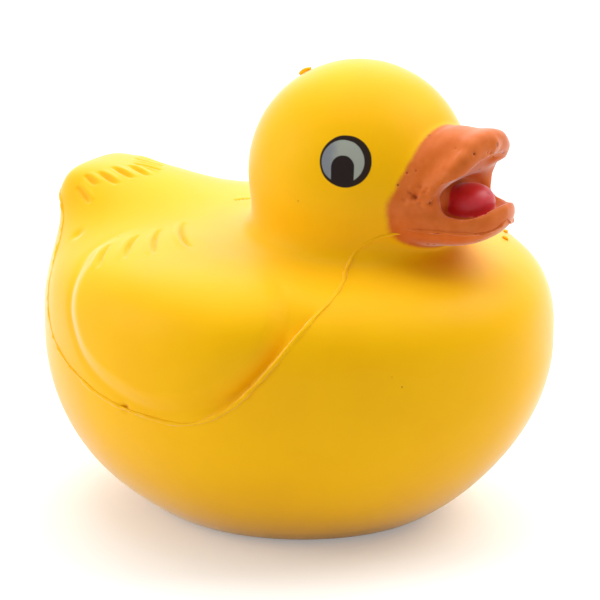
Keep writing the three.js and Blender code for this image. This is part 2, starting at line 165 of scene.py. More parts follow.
def smooth_curve(points: list, steps: int, closed: bool = False) -> Array:
    """Samples a Catmull-Rom curve through the points: each span is the cubic set by its four nearest points.

    Args:
        points: the points the curve passes, each of two or three numbers.
        steps: samples per span.
        closed: whether the last point joins the first.

    Returns:
        The sampled points, one per row.
    """
    given = np.asarray(points, float)
    if closed:
        padded = np.vstack([given[-1], given, given[:2]])
    else:
        padded = np.vstack([2 * given[0] - given[1], given, 2 * given[-1] - given[-2]])
    t = np.linspace(0.0, 1.0, steps, endpoint=False)[None, :, None]
    before, start, end, after = (padded[i : len(padded) - 3 + i, None, :] for i in range(4))
    spans = 0.5 * (
        2 * start
        + (end - before) * t
        + (2 * before - 5 * start + 4 * end - after) * t**2
        + (3 * start - before - 3 * end + after) * t**3
    )
    curve = spans.reshape(-1, given.shape[1])
    return curve if closed else np.vstack([curve, given[-1]])


@dataclass(frozen=True)
class Lumps:
    """Smooth random height over space: a seeded lattice of random values, blended between its nodes."""

    seed: int
    size: int = 32

    def at(self, points: Array, spacing: float) -> Array:
        """Height from -1 to 1 at each point.

        Each coordinate is divided by the spacing, and the eight lattice values around the point are mixed by
        smooth weights along x, y and z in turn.

        Args:
            points: positions in mm, one per row.
            spacing: distance between lattice nodes, in mm.

        Returns:
            One height per point.
        """
        table = np.random.default_rng(self.seed).uniform(-1.0, 1.0, (self.size,) * 3)
        place = points / spacing
        low = np.floor(place).astype(int)
        share = place - low
        share = share * share * (3.0 - 2.0 * share)
        total = np.zeros(len(points))
        for corner in range(8):
            step = np.array([corner & 1, (corner >> 1) & 1, (corner >> 2) & 1])
            node = (low + step) % self.size
            weight = np.prod(np.where(step == 1, share, 1.0 - share), axis=1)
            total += weight * table[node[:, 0], node[:, 1], node[:, 2]]
        return total


@dataclass(frozen=True)
class Trunk:
    """Body and tail: an egg whose widest level lies high, and a broad flat wedge that leans up."""

    half_width: float = 40.4
    front: float = 44.2
    back: float = 46.2
    widest_level: float = 30.4
    shoulder_rise: float = 19.4
    belly_drop: float = 36.0
    plan_power: float = 1.91
    shoulder_power: float = 3.45
    breast_power: float = 1.79
    rump_power: float = 2.21
    tail_half: tuple = (9.0, 10.7, 4.8)
    tail_place: tuple = (35.4, 47.8)
    tail_tilt: float = 17.7
    tail_powers: tuple = (3.55, 2.4)
    tail_blend: float = 15.6

    def centre(self) -> Array:
        """Middle of the body at its widest level."""
        return np.array([0.0, 0.0, self.widest_level])

    def body(self, x: Array, y: Array, z: Array) -> Array:
        """Distance to the body: its length and lower power differ between breast and rump.

        Args:
            x, y, z: coordinates of the points, in mm.

        Returns:
            Distances in mm, negative inside.
        """
        level = z - self.widest_level
        front_share = 0.5 - 0.5 * y / (np.sqrt(x * x + y * y + level * level) + 1e-6)
        length = np.where(y < 0.0, self.front, self.back)
        belly = self.rump_power + (self.breast_power - self.rump_power) * front_share
        power = np.where(level > 0.0, self.shoulder_power, belly)
        height = np.where(level > 0.0, self.shoulder_rise, self.belly_drop)
        return egg_distance(x, y, level, (self.half_width, length, height), self.plan_power, power)

    def tail(self, x: Array, y: Array, z: Array) -> Array:
        """Distance to the tail, a squarish egg turned about X by its tilt."""
        back, level = self.tail_place
        along, across = tilted(y - back, z - level, self.tail_tilt)
        return egg_distance(x, along, across, self.tail_half, *self.tail_powers)

    def distance(self, x: Array, y: Array, z: Array) -> Array:
        """Distance to body and tail melted together."""
        return soft_union(self.body(x, y, z), self.tail(x, y, z), self.tail_blend)


@dataclass(frozen=True)
class Head:
    """Head ball on a short neck."""

    radius: float = 18.4
    forward: float = 11.5
    level: float = 60.3
    neck_radius: float = 15.0
    neck_half_height: float = 13.0
    neck_level: float = 49.0
    neck_side_power: float = 3.0
    neck_blend: float = 4.0
    foot_blend: float = 9.0

    def centre(self) -> Array:
        """Middle of the head."""
        return np.array([0.0, -self.forward, self.level])

    def ball(self, x: Array, y: Array, z: Array) -> Array:
        """Distance to the head ball."""
        return np.sqrt(x * x + (y + self.forward) ** 2 + (z - self.level) ** 2) - self.radius

    def join(self, trunk: Array, x: Array, y: Array, z: Array) -> Array:
        """Adds neck and head to the trunk's distances.

        Args:
            trunk: distances to body and tail, in mm.
            x, y, z: coordinates of the points, in mm.

        Returns:
            Distances in mm, negative inside.
        """
        half = (self.neck_radius, self.neck_radius, self.neck_half_height)
        neck = egg_distance(x, y + self.forward, z - self.neck_level, half, 2.0, self.neck_side_power)
        return soft_union(soft_union(trunk, neck, self.foot_blend), self.ball(x, y, z), self.neck_blend)


@dataclass(frozen=True)
class Bill:
    """Muzzle, lifted upper flap with a rolled lip, lower scoop with a thick rim, and the tongue.

    Places are given as forward, the distance in front of the body's middle, and level, both in mm. A share
    runs along a flap, from nothing at its root to one at its tip.
    """

    muzzle_half: tuple = (11.6, 8.3, 8.6)
    muzzle_place: tuple = (25.0, 59.6)
    muzzle_blend: float = 1.2
    root: float = 24.0
    corner: tuple = (31.2, 60.1)
    corner_blend: float = 0.8
    flap_blend: float = 2.6
    flare_power: float = 1.5
    least_half_width: float = 0.2

    upper_tip: float = 37.7
    upper_half_width: float = 7.1
    upper_flare: float = 3.2
    upper_plan_power: float = 3.4
    upper_arch_power: float = 2.3
    upper_top: float = 70.6
    upper_root_drop: float = 3.4
    upper_root_share: float = 1.9
    upper_tip_drop: float = 1.0
    upper_tip_power: int = 14
    upper_thickness: float = 2.4
    upper_edge: float = 1.6
    upper_tip_edge: float = 2.2
    palate_arch: float = 1.6
    palate_drop: float = 0.2
    palate_reach: float = 1.2

    lip_angle: float = 52.0
    lip_drop: float = 2.0
    lip_radius: float = 1.6
    lip_blend: float = 2.2
    lip_line: tuple = (
        (8.0, 30.2, 60.0),
        (8.3, 31.5, 61.6),
        (8.0, 32.8, 63.5),
        (7.1, 34.1, 65.5),
        (5.6, 35.3, 67.1),
        (3.6, 35.9, 68.1),
        (1.7, 36.3, 68.5),
        (0.0, 36.4, 68.6),
    )

    lower_tip: float = 40.4
    lower_half_width: float = 9.4
    lower_flare: float = 1.2
    lower_plan_power: float = 2.4
    keel_power: float = 2.2
    lower_bottom: float = 51.1
    lower_tip_edge: float = 1.2
    tip_power: int = 4
    tip_depth: float = 1.2
    seam_level: float = 55.6
    seam_rise: float = 1.6
    rim_level: float = 58.0
    rim_rise: float = 1.2
    rim_round: float = 2.2
    rim_root_slope: float = 4.0
    rim_root_share: float = 0.6

    hollow_half: tuple = (7.6, 4.8, 3.1)
    hollow_place: tuple = (34.2, 59.4)
    hollow_powers: tuple = (2.2, 3.0)
    hollow_edge: float = 0.7
    gape_half: tuple = (40.0, 6.2, 3.0)
    gape_place: tuple = (37.6, 61.9)
    gape_tilt: float = 18.0
    gape_edge: float = 1.0

    tongue_half: tuple = (4.1, 4.4, 3.4)
    tongue_place: tuple = (33.0, 57.95)
    tongue_powers: tuple = (2.2, 2.1)
    tongue_tilt: float = 12.0
    tongue_blend: float = 1.2
    bed_half: tuple = (6.8, 2.9, 2.9)
    bed_place: tuple = (29.0, 58.4)
    bed_powers: tuple = (2.4, 2.0)
    bed_blend: float = 0.6

    mouth_paint_depth: float = 0.6
    tongue_paint_back: float = 30.7
    tongue_paint_gap: float = 0.25

    def muzzle(self, x: Array, y: Array, z: Array) -> Array:
        """Distance to the egg on the face that carries both flaps."""
        forward, level = self.muzzle_place
        return egg_distance(x, y + forward, z - level, self.muzzle_half, 2.0, 2.0)

    def lip_roll(self, x: Array, y: Array, z: Array) -> Array:
        """Distance to the rolled lip: the shortest way to the spans of its line, less the roll's radius.

        Args:
            x, y, z: coordinates of the points, in mm.

        Returns:
            Distances in mm, negative inside.
        """
        nearest = np.full(np.broadcast(x, y, z).shape, np.inf)
        across = np.abs(x)
        for start, end in zip(self.lip_line[:-1], self.lip_line[1:]):
            span = [b - a for a, b in zip(start, end)]
            length = sum(v * v for v in span)
            offset = (across - start[0], -y - start[1], z - start[2])
            share = np.clip(sum(o * v for o, v in zip(offset, span)) / length, 0.0, 1.0)
            gap = sum((o - share * v) ** 2 for o, v in zip(offset, span))
            nearest = np.minimum(nearest, gap)
        return np.sqrt(nearest) - self.lip_radius

    def half_width(self, share: Array, width: float, power: float, flare: float) -> Array:
        """Half width of a flap along its share: rounded off towards the tip, and flared towards the root."""
        rounded = width * np.maximum(1.0 - share**power, 0.0) ** (1.0 / power)
        return np.maximum(rounded + flare * (1.0 - share) ** self.flare_power, self.least_half_width)

    def upper_flap(self, x: Array, y: Array, z: Array) -> Array:
        """Distance to the upper flap.

        Each section across is an arch over the lip line, which climbs forward from the corner of the mouth.
        The arch is kept above a hollow palate and behind the tip, and the rolled lip is melted on.

        Args:
            x, y, z: coordinates of the points, in mm.

        Returns:
            Distances in mm, negative inside.
        """
        forward = -y
        share = np.clip((forward - self.root) / (self.upper_tip - self.root), 0.0, 1.0)
        half = self.half_width(share, self.upper_half_width, self.upper_plan_power, self.upper_flare)
        root_drop = self.upper_root_drop * (1.0 - np.minimum(share * self.upper_root_share, 1.0)) ** 2
        top = self.upper_top - root_drop - self.upper_tip_drop * share**self.upper_tip_power
        corner, level = self.corner
        climb = (forward - corner) * math.tan(math.radians(self.lip_angle))
        lip = np.clip(level + climb, level - self.lip_drop, top - self.upper_thickness)
        outer = arch_distance(x, z - lip, half, top - lip, self.upper_arch_power)
        hollowed = self.palate_arch * (1.0 - np.minimum(np.abs(x / half), self.palate_reach) ** 2)
        under = (lip - self.palate_drop + hollowed - z) * math.cos(math.radians(self.lip_angle))
        flap = soft_meet(outer, under, self.upper_edge)
        flap = soft_meet(flap, forward - self.upper_tip, self.upper_tip_edge)
        return soft_union(flap, self.lip_roll(x, y, z), self.lip_blend)

    def lower_scoop(self, x: Array, y: Array, z: Array) -> Array:
        """Distance to the lower scoop: a round keel under the seam level, and a round-edged rim above it.

        Args:
            x, y, z: coordinates of the points, in mm.

        Returns:
            Distances in mm, negative inside.
        """
        forward = -y
        share = np.clip((forward - self.root) / (self.lower_tip - self.root), 0.0, 1.0)
        half = self.half_width(share, self.lower_half_width, self.lower_plan_power, self.lower_flare)
        near_tip = share**self.tip_power
        seam = self.seam_level + self.seam_rise * near_tip
        bottom = self.lower_bottom + (seam - self.lower_bottom - self.tip_depth) * near_tip
        keel = arch_distance(x, seam - z, half, seam - bottom, self.keel_power)
        root_rise = self.rim_root_slope * np.maximum(self.rim_root_share - share, 0.0)
        rim = z - (self.rim_level + self.rim_rise * near_tip + root_rise)
        scoop = soft_meet(keel, rim, self.rim_round)
        return soft_meet(scoop, forward - self.lower_tip, self.lower_tip_edge)

    def hollow(self, x: Array, y: Array, z: Array) -> Array:
        """Distance to the hollow of the mouth, an egg round the tongue."""
        forward, level = self.hollow_place
        return egg_distance(x, y + forward, z - level, self.hollow_half, *self.hollow_powers)

    def gape(self, x: Array, y: Array, z: Array) -> Array:
        """Distance to the gap between the flaps, a flat egg that climbs forward from the mouth's corners."""
        forward, level = self.gape_place
        along, across = tilted(-y - forward, z - level, self.gape_tilt)
        return egg_distance(x, along, across, self.gape_half, 2.0, 2.0)

    def tongue(self, x: Array, y: Array, z: Array) -> Array:
        """Distance to the tongue, an egg that lifts its front end."""
        forward, level = self.tongue_place
        along, across = tilted(-y - forward, z - level, self.tongue_tilt)
        return egg_distance(x, along, across, self.tongue_half, *self.tongue_powers)

    def bed(self, x: Array, y: Array, z: Array) -> Array:
        """Distance to the egg of foam behind the tongue."""
        forward, level = self.bed_place
        return egg_distance(x, y + forward, z - level, self.bed_half, *self.bed_powers)

    def flaps(self, x: Array, y: Array, z: Array) -> Array:
        """Distance to muzzle and both flaps, before the hollow is cut."""
        both = soft_union(self.upper_flap(x, y, z), self.lower_scoop(x, y, z), self.corner_blend)
        return soft_union(both, self.muzzle(x, y, z), self.flap_blend)

    def join(self, duck: Array, x: Array, y: Array, z: Array) -> Array:
        """Adds the bill to the duck's distances, cuts the mouth and lays the tongue on its bed of foam.

        Args:
            duck: distances to the duck without its bill, in mm.
            x, y, z: coordinates of the points, in mm.

        Returns:
            Distances in mm, negative inside.
        """
        with_bill = soft_union(duck, self.flaps(x, y, z), self.muzzle_blend)
        opened = soft_meet(with_bill, -self.hollow(x, y, z), self.hollow_edge)
        opened = soft_meet(opened, -self.gape(x, y, z), self.gape_edge)
        tongue = soft_union(self.bed(x, y, z), self.tongue(x, y, z), self.bed_blend)
        return soft_union(opened, tongue, self.tongue_blend)


@dataclass(frozen=True)
class DuckForm:
    """The whole undecorated form of the duck."""

    trunk: Trunk = field(default_factory=Trunk)
    head: Head = field(default_factory=Head)
    bill: Bill = field(default_factory=Bill)
    base_round: float = 1.0
    bill_back: float = -19.0
    bill_low: float = 46.0
    bill_side: float = 15.0
    least_steepness: float = 0.05
    longest_move: float = 0.5

    def plain(self, x: Array, y: Array, z: Array) -> Array:
        """Distance to the duck without its bill, cut flat at z = 0."""
        skin = self.head.join(self.trunk.distance(x, y, z), x, y, z)
        return soft_meet(skin, -z, self.base_round)

    def near_bill(self, points: Array) -> Array:
        """True for points in the box that holds the bill and everything that it melts into."""
        x, y, z = points.T
        return (y < self.bill_back) & (z > self.bill_low) & (np.abs(x) < self.bill_side)

    def distance(self, points: Array) -> Array:
        """Distance to the whole duck for points in mm, one per row.

        Args:
            points: positions in mm, one per row.

        Returns:
            Distances in mm, negative inside.
        """
        x, y, z = points.T
        result = self.plain(x, y, z)
        near = self.near_bill(points)
        if near.any():
            result[near] = self.bill.join(result[near], x[near], y[near], z[near])
        return result

    def grid(self, x: Array, y: Array, z: Array) -> Array:
        """Distance at every node of a grid with x from the middle outwards.

        Args:
            x, y, z: the grid lines along each axis, in mm.

        Returns:
            One distance per node, in mm.
        """
        x3, y3, z3 = x[:, None, None], y[None, :, None], z[None, None, :]
        values = self.plain(x3, y3, z3)
        columns = int(np.searchsorted(x, self.bill_side))
        rows = int(np.searchsorted(y, self.bill_back))
        low = int(np.searchsorted(z, self.bill_low))
        part = (slice(0, columns), slice(0, rows), slice(low, None))
        values[part] = self.bill.join(values[part], x3[:columns], y3[:, :rows], z3[:, :, low:])
        return values

    def slope(self, points: Array) -> Array:
        """Direction and steepness in which the distance grows, from differences of 0.02 mm.

        Args:
            points: positions in mm, one per row.

        Returns:
            One slope per point, a row of three numbers.
        """
        step = 0.02
        result = np.empty_like(points)
        for axis in Axis:
            shift = np.zeros(3)
            shift[axis.value] = step
            rise = self.distance(points + shift) - self.distance(points - shift)
            result[:, axis.value] = rise / (2.0 * step)
        return result

    def settle(self, points: Array, rounds: int = 3) -> Array:
        """Moves points onto the surface: each step goes down the slope by distance over steepness.

        Args:
            points: positions near the surface, in mm.
            rounds: number of steps.

        Returns:
            The moved points.
        """
        for _ in range(rounds):
            slope = self.slope(points)
            steep = np.maximum((slope * slope).sum(axis=1), self.least_steepness)
            move = slope * (self.distance(points) / steep)[:, None]
            points = points - np.clip(move, -self.longest_move, self.longest_move)
        return points

    def normals(self, points: Array) -> Array:
        """Unit outward directions at points on the surface."""
        slope = self.slope(points)
        return slope / np.maximum(np.linalg.norm(slope, axis=1), 1e-6)[:, None]

    def on_trunk(self, azimuth: Array, elevation: Array) -> Array:
        """Trunk surface points seen from the body's centre.

        Azimuth 0 looks out of the breast and grows towards the duck's right side. Along each ray the surface
        is found by halving an interval that starts at the centre and ends 60 mm out.

        Args:
            azimuth: angles round the body, in degrees.
            elevation: angles above its widest level, in degrees.

        Returns:
            One point per angle pair, in mm.
        """
        a, e = np.radians(np.asarray(azimuth, float)), np.radians(np.asarray(elevation, float))
        out = np.stack([-np.cos(e) * np.sin(a), -np.cos(e) * np.cos(a), np.sin(e)], axis=-1)
        return self.cast(self.trunk.centre(), out)

    def cast(self, origin: Array, out: Array, reach: float = 60.0) -> Array:
        """Points where rays from inside leave the trunk, head and neck, by halving the interval 20 times.

        Args:
            origin: where the rays start, in mm.
            out: unit directions.
            reach: how far they go, in mm.

        Returns:
            One point per ray, in mm.
        """
        near = np.zeros(out.shape[:-1])
        far = np.full(out.shape[:-1], reach)
        for _ in range(20):
            middle = (near + far) / 2.0
            place = origin + out * middle[..., None]
            inside = self.plain(place[..., 0], place[..., 1], place[..., 2]) < 0.0
            near = np.where(inside, middle, near)
            far = np.where(inside, far, middle)
        return origin + out * ((near + far) / 2.0)[..., None]


@dataclass(frozen=True)
class SkinGrid:
    """Evenly spaced grid lines along each axis, in mm."""

    spacing: float = 0.96
    belly_spacing: float = 1.2
    belly_level: float = 18.0
    ends: tuple = (-46.0, 48.5)
    levels: tuple = (-1.5, 80.5)
    side: float = 43.0

    def along(self) -> Array:
        """Grid lines from in front of the breast to behind the tail."""
        return np.arange(*self.ends, self.spacing)

    def up(self) -> Array:
        """Grid lines from under the base to over the head, wider apart over the plain belly."""
        low, high = self.levels
        belly = np.arange(low, self.belly_level, self.belly_spacing)
        return np.concatenate([belly, np.arange(self.belly_level, high, self.spacing)])

    def across(self) -> Array:
        """Grid lines on the +X side; the first lies half a step from the middle."""
        return np.arange(self.spacing / 2.0, self.side, self.spacing)


def net_vertices(values: Array, axes: list) -> tuple:
    """Places one vertex in each grid cell that the zero surface passes.

    The vertex is the mean of the points where the cell's twelve edges cross zero, found by straight
    interpolation between the two corner values of an edge.

    Args:
        values: distances at the grid nodes.
        axes: the grid lines along x, y and z.

    Returns:
        The vertices in mm, and an array that gives each cell's vertex number or -1.
    """
    inside = values < 0.0
    count = np.zeros([n - 1 for n in values.shape], np.int8)
    for corner in range(8):
        i, j, k = corner & 1, (corner >> 1) & 1, (corner >> 2) & 1
        ends = [n - 1 + o for n, o in zip(values.shape, (i, j, k))]
        count += inside[i : ends[0], j : ends[1], k : ends[2]]
    cells = np.argwhere((count > 0) & (count < 8))
    number = np.full(count.shape, -1, np.int64)
    number[tuple(cells.T)] = np.arange(len(cells))
    total = np.zeros((len(cells), 3))
    crossings = np.zeros(len(cells))
    for axis in Axis:
        others = [a.value for a in Axis if a is not axis]
        for turn in range(4):
            start = cells.copy()
            start[:, others[0]] += turn & 1
            start[:, others[1]] += turn >> 1
            end = start.copy()
            end[:, axis.value] += 1
            a, b = values[tuple(start.T)], values[tuple(end.T)]
            crossed = (a < 0.0) != (b < 0.0)
            share = np.where(crossed, a / np.where(crossed, a - b, 1.0), 0.0)
            place = np.stack([axes[d][start[:, d]] for d in range(3)], axis=1)
            along = axes[axis.value]
            place[:, axis.value] += share * (along[end[:, axis.value]] - along[start[:, axis.value]])
            total += place * crossed[:, None]
            crossings += crossed
    return total / crossings[:, None], number


def net_faces(values: Array, number: Array) -> Array:
    """Makes one four-sided face across each grid edge that crosses zero, turned to face outwards.

    Args:
        values: distances at the grid nodes.
        number: vertex number of each cell, or -1.

    Returns:
        Four vertex numbers per face.
    """
    faces = []
    inside = values < 0.0
    for axis in Axis:
        u, v = [(axis.value + 1) % 3, (axis.value + 2) % 3]
        low = [slice(None)] * 3
        high = [slice(None)] * 3
        low[axis.value], high[axis.value] = slice(0, -1), slice(1, None)
        for d in (u, v):
            low[d] = high[d] = slice(1, -1)
        start, end = inside[tuple(low)], inside[tuple(high)]
        edges = np.argwhere(start != end)
        leaves = start[tuple(edges.T)]
        shift = np.zeros(3, int)
        shift[u] = shift[v] = 1
        base = edges + shift
        around = [(0, 0), (1, 0), (1, 1), (0, 1)]
        quad = []
        for du, dv in around:
            cell = base.copy()
            cell[:, u] -= 1 - du
            cell[:, v] -= 1 - dv
            quad.append(number[tuple(cell.T)])
        quad = np.stack(quad, axis=1)
        faces.append(np.where(leaves[:, None], quad, quad[:, ::-1]))
    return np.concatenate(faces)


def nearest_on_path(points: Array, path: Array) -> tuple:
    """Finds the nearest place on a broken line for each point.

    Args:
        points: positions, one per row, of two or three numbers.
        path: the line's corners, one per row.

    Returns:
        Distance to the line, place along it counted in spans, and the nearest point itself.
    """
    best = np.full(len(points), np.inf)
    place = np.zeros(len(points))
    foot = np.zeros_like(points)
    for index in range(len(path) - 1):
        start, span = path[index], path[index + 1] - path[index]
        length = max(float(span @ span), 1e-12)
        share = np.clip((points - start) @ span / length, 0.0, 1.0)
        close = start + share[:, None] * span
        gap = ((points - close) ** 2).sum(axis=1)
        better = gap < best
        best = np.where(better, gap, best)
        place = np.where(better, index + share, place)
        foot = np.where(better[:, None], close, foot)
    return np.sqrt(best), place, foot


def inside_outline(points: Array, outline: Array) -> Array:
    """True where a point of two numbers lies inside a closed outline, by an odd count of edges ahead.

    Args:
        points: pairs of numbers, one per row.
        outline: the outline's corners, one per row.

    Returns:
        One truth value per point.
    """
    count = np.zeros(len(points), int)
    following = np.roll(outline, -1, axis=0)
    for (ax, ay), (bx, by) in zip(outline, following):
        crosses = (ay > points[:, 1]) != (by > points[:, 1])
        level = (points[:, 1] - ay) / (by - ay if abs(by - ay) > 1e-12 else 1e-12)
        count += crosses & (points[:, 0] < ax + level * (bx - ax))
    return count % 2 == 1


@dataclass(frozen=True)
class Slit:
    """Section of a feather slit, in mm: a narrow groove with a low ridge along one of its sides."""

    depth: float
    width: float
    ridge_height: float
    ridge_place: float
    ridge_width: float
    swell_power: float

    def height(self, points: Array, path: Array, side: Axis) -> Array:
        """Height of one slit: bell curves across it, times a power of a half sine wave from end to end.

        Args:
            points: skin points, in mm.
            path: points along the slit's middle.
            side: the axis along which the ridge lies lower than the groove.

        Returns:
            One height per point, in mm.
        """
        gap, place, foot = nearest_on_path(points, path)
        swell = np.sin(np.pi * np.clip(place / (len(path) - 1.0), 0.0, 1.0)) ** self.swell_power
        lower = points[:, side.value] < foot[:, side.value]
        ridge = bell(gap - self.ridge_place, self.ridge_width) * lower
        return swell * (self.ridge_height * ridge - self.depth * bell(gap, self.width))


@dataclass(frozen=True)
class Wings:
    """Pillow-like wings with feather slits. Places are azimuth and elevation from the body's centre.

    The wing's edge fades out along the top, between the two elevations of `fade`.
    """

    outline: tuple = (
        (90, -4),
        (104, -2.5),
        (116, 2),
        (123, 9),
        (130, 19),
        (138, 26),
        (143, 42),
        (115, 48),
        (80, 43),
        (61, 26),
        (64, 10),
        (74, 1),
    )
    rise: float = 1.0
    edge_start: float = -0.5
    edge_width: float = 3.2
    crease_depth: float = 0.2
    crease_place: float = -0.6
    crease_width: float = 0.8
    fade: tuple = (17.0, 36.0)
    curve_steps: int = 6
    slit: Slit = Slit(
        depth=0.62, width=0.34, ridge_height=0.22, ridge_place=1.0, ridge_width=0.55, swell_power=0.7
    )
    slits: tuple = ((134, 27, 123, 22), (136, 33, 120, 27), (138, 38, 115, 32), (143, 44, 108, 39))
    slit_points: int = 7
    slit_reach: float = 14.0

    def height(self, form: DuckForm, points: Array, azimuth: Array, elevation: Array) -> Array:
        """Height of wings and slits over the plain trunk, in mm.

        Inside the outline the skin rises smoothly over the edge width; a narrow valley follows the outline
        outside it, and both fade out along the top.

        Args:
            form: the duck's form.
            points: skin points in mm, one per row.
            azimuth, elevation: their angles in degrees.

        Returns:
            One height per point, in mm.
        """
        outline = smooth_curve(list(self.outline), self.curve_steps, closed=True)
        flat = np.stack([azimuth, elevation], axis=1)
        gap, _, _ = nearest_on_path(flat, np.vstack([outline, outline[:1]]))
        depth = np.where(inside_outline(flat, outline), gap, -gap) * MM_PER_DEGREE
        pillow = self.rise * smooth_step(self.edge_start, self.edge_width, depth)
        crease = self.crease_depth * bell(depth - self.crease_place, self.crease_width)
        height = (pillow - crease) * (1.0 - smooth_step(*self.fade, elevation))
        mirrored = on_right_side(points)
        for ends in self.slits:
            height += self.slit_height(form, mirrored, ends)
        return height

    def slit_height(self, form: DuckForm, points: Array, ends: tuple) -> Array:
        """Height of one feather slit, for points brought to the duck's right side.

        Args:
            form: the duck's form.
            points: skin points in mm.
            ends: azimuth and elevation of both ends.

        Returns:
            One height per point, in mm.
        """
        share = np.linspace(0.0, 1.0, self.slit_points)
        path = form.on_trunk(ends[0] + (ends[2] - ends[0]) * share, ends[1] + (ends[3] - ends[1]) * share)
        near = np.linalg.norm(points - path[self.slit_points // 2], axis=1) < self.slit_reach
        result = np.zeros(len(points))
        result[near] = self.slit.height(points[near], path, Axis.Z)
        return result


@dataclass(frozen=True)
class TailFeathers:
    """Slits in the upper trailing edge of the tail: x, y, z of both ends on the duck's right side, in mm."""

    slits: tuple = (
        (-9.5, 40.1, 51.2, -12.0, 35.5, 49.7),
        (-7.4, 39.9, 52.8, -8.8, 36.4, 51.9),
        (-5.9, 38.2, 53.3, -7.4, 33.1, 52.3),
        (-3.2, 37.3, 53.7, -4.5, 31.8, 52.9),
        (-0.7, 35.6, 53.7, -2.0, 30.4, 52.9),
    )
    slit: Slit = Slit(
        depth=0.55, width=0.4, ridge_height=0.2, ridge_place=0.9, ridge_width=0.5, swell_power=0.6
    )
    slit_points: int = 6
    lowest: float = 46.0
    foremost: float = 28.0

    def height(self, form: DuckForm, points: Array) -> Array:
        """Height of all slits on both sides: each runs straight between its ends, settled on the skin.

        Args:
            form: the duck's form.
            points: skin points in mm, one per row.

        Returns:
            One height per point, in mm.
        """
        result = np.zeros(len(points))
        top = (points[:, 2] > self.lowest) & (points[:, 1] > self.foremost)
        mirrored = on_right_side(points[top])
        share = np.linspace(0.0, 1.0, self.slit_points)[:, None]
        part = np.zeros(len(mirrored))
        for ends in self.slits:
            path = form.settle(np.array(ends[:3]) * (1.0 - share) + np.array(ends[3:]) * share)
            part += self.slit.height(mirrored, path, Axis.Y)
        result[top] = part
        return result


@dataclass(frozen=True)
class Bead:
    """A ragged raised bead: its mean half width and height in mm, lump number, and whether it is painted.

    The lump sizes are for its height, coarse and fine, its width and its dirt.
    """

    half_width: float
    height: float
    lumps: int
    painted: bool
    step: float = 0.4
    lump_sizes: tuple = (1.7, 0.75, 1.9, 0.9)
    coarse_share: float = 0.8
    fine_share: float = 0.6
    width_share: float = 0.5
    least_height: float = 0.3
    taper_steps: float = 4.0
    least_taper: float = 0.02
    dirt_gain: float = 1.5
    dirt_threshold: float = 0.55
    most_dirt: float = 0.8
    bill_coat: float = 3.0

    def spaced(self, route: Array) -> Array:
        """Points at even steps along a route, by straight interpolation over its length."""
        length = np.concatenate([[0.0], np.cumsum(np.linalg.norm(np.diff(route, axis=0), axis=1))])
        even = np.linspace(0.0, length[-1], int(length[-1] / self.step))
        return np.stack([np.interp(even, length, route[:, axis.value]) for axis in Axis], axis=1)

    def swept(self, path: Array, normals: Array) -> tuple:
        """Points and faces of the bead: its height and width are the mean ones times one plus random lumps.

        Args:
            path: points along the bead, in mm.
            normals: outward skin directions at those points.

        Returns:
            Points and face arrays of the closed bead.
        """
        coarse, fine, broad, _ = self.lump_sizes
        ends = np.minimum(np.arange(len(path)), np.arange(len(path))[::-1]) / self.taper_steps
        taper = np.clip(ends, self.least_taper, 1.0)
        lumps = self.coarse_share * Lumps(self.lumps).at(path, coarse)
        tall = 1.0 + lumps + self.fine_share * Lumps(self.lumps + 1).at(path, fine)
        wide = 1.0 + self.width_share * Lumps(self.lumps + 2).at(path, broad)
        height = self.height * np.maximum(tall, self.least_height)
        return sweep(path, normals, self.half_width * wide * taper, height * taper)

    def coats(self, points: Array) -> dict:
        """Coat distances and dirt of the bead: a painted one holds dirt where random lumps are high.

        Args:
            points: the bead's points, in mm.

        Returns:
            Values by the coat's name; a missing coat is bare.
        """
        if not self.painted:
            return {"dirt_and_shade": np.zeros(len(points))}
        lumps = self.dirt_gain * Lumps(self.lumps + 3).at(points, self.lump_sizes[3])
        dirt_and_shade = np.clip(lumps - self.dirt_threshold, 0.0, self.most_dirt)
        return {"bill_coat": np.full(len(points), self.bill_coat), "dirt_and_shade": dirt_and_shade}


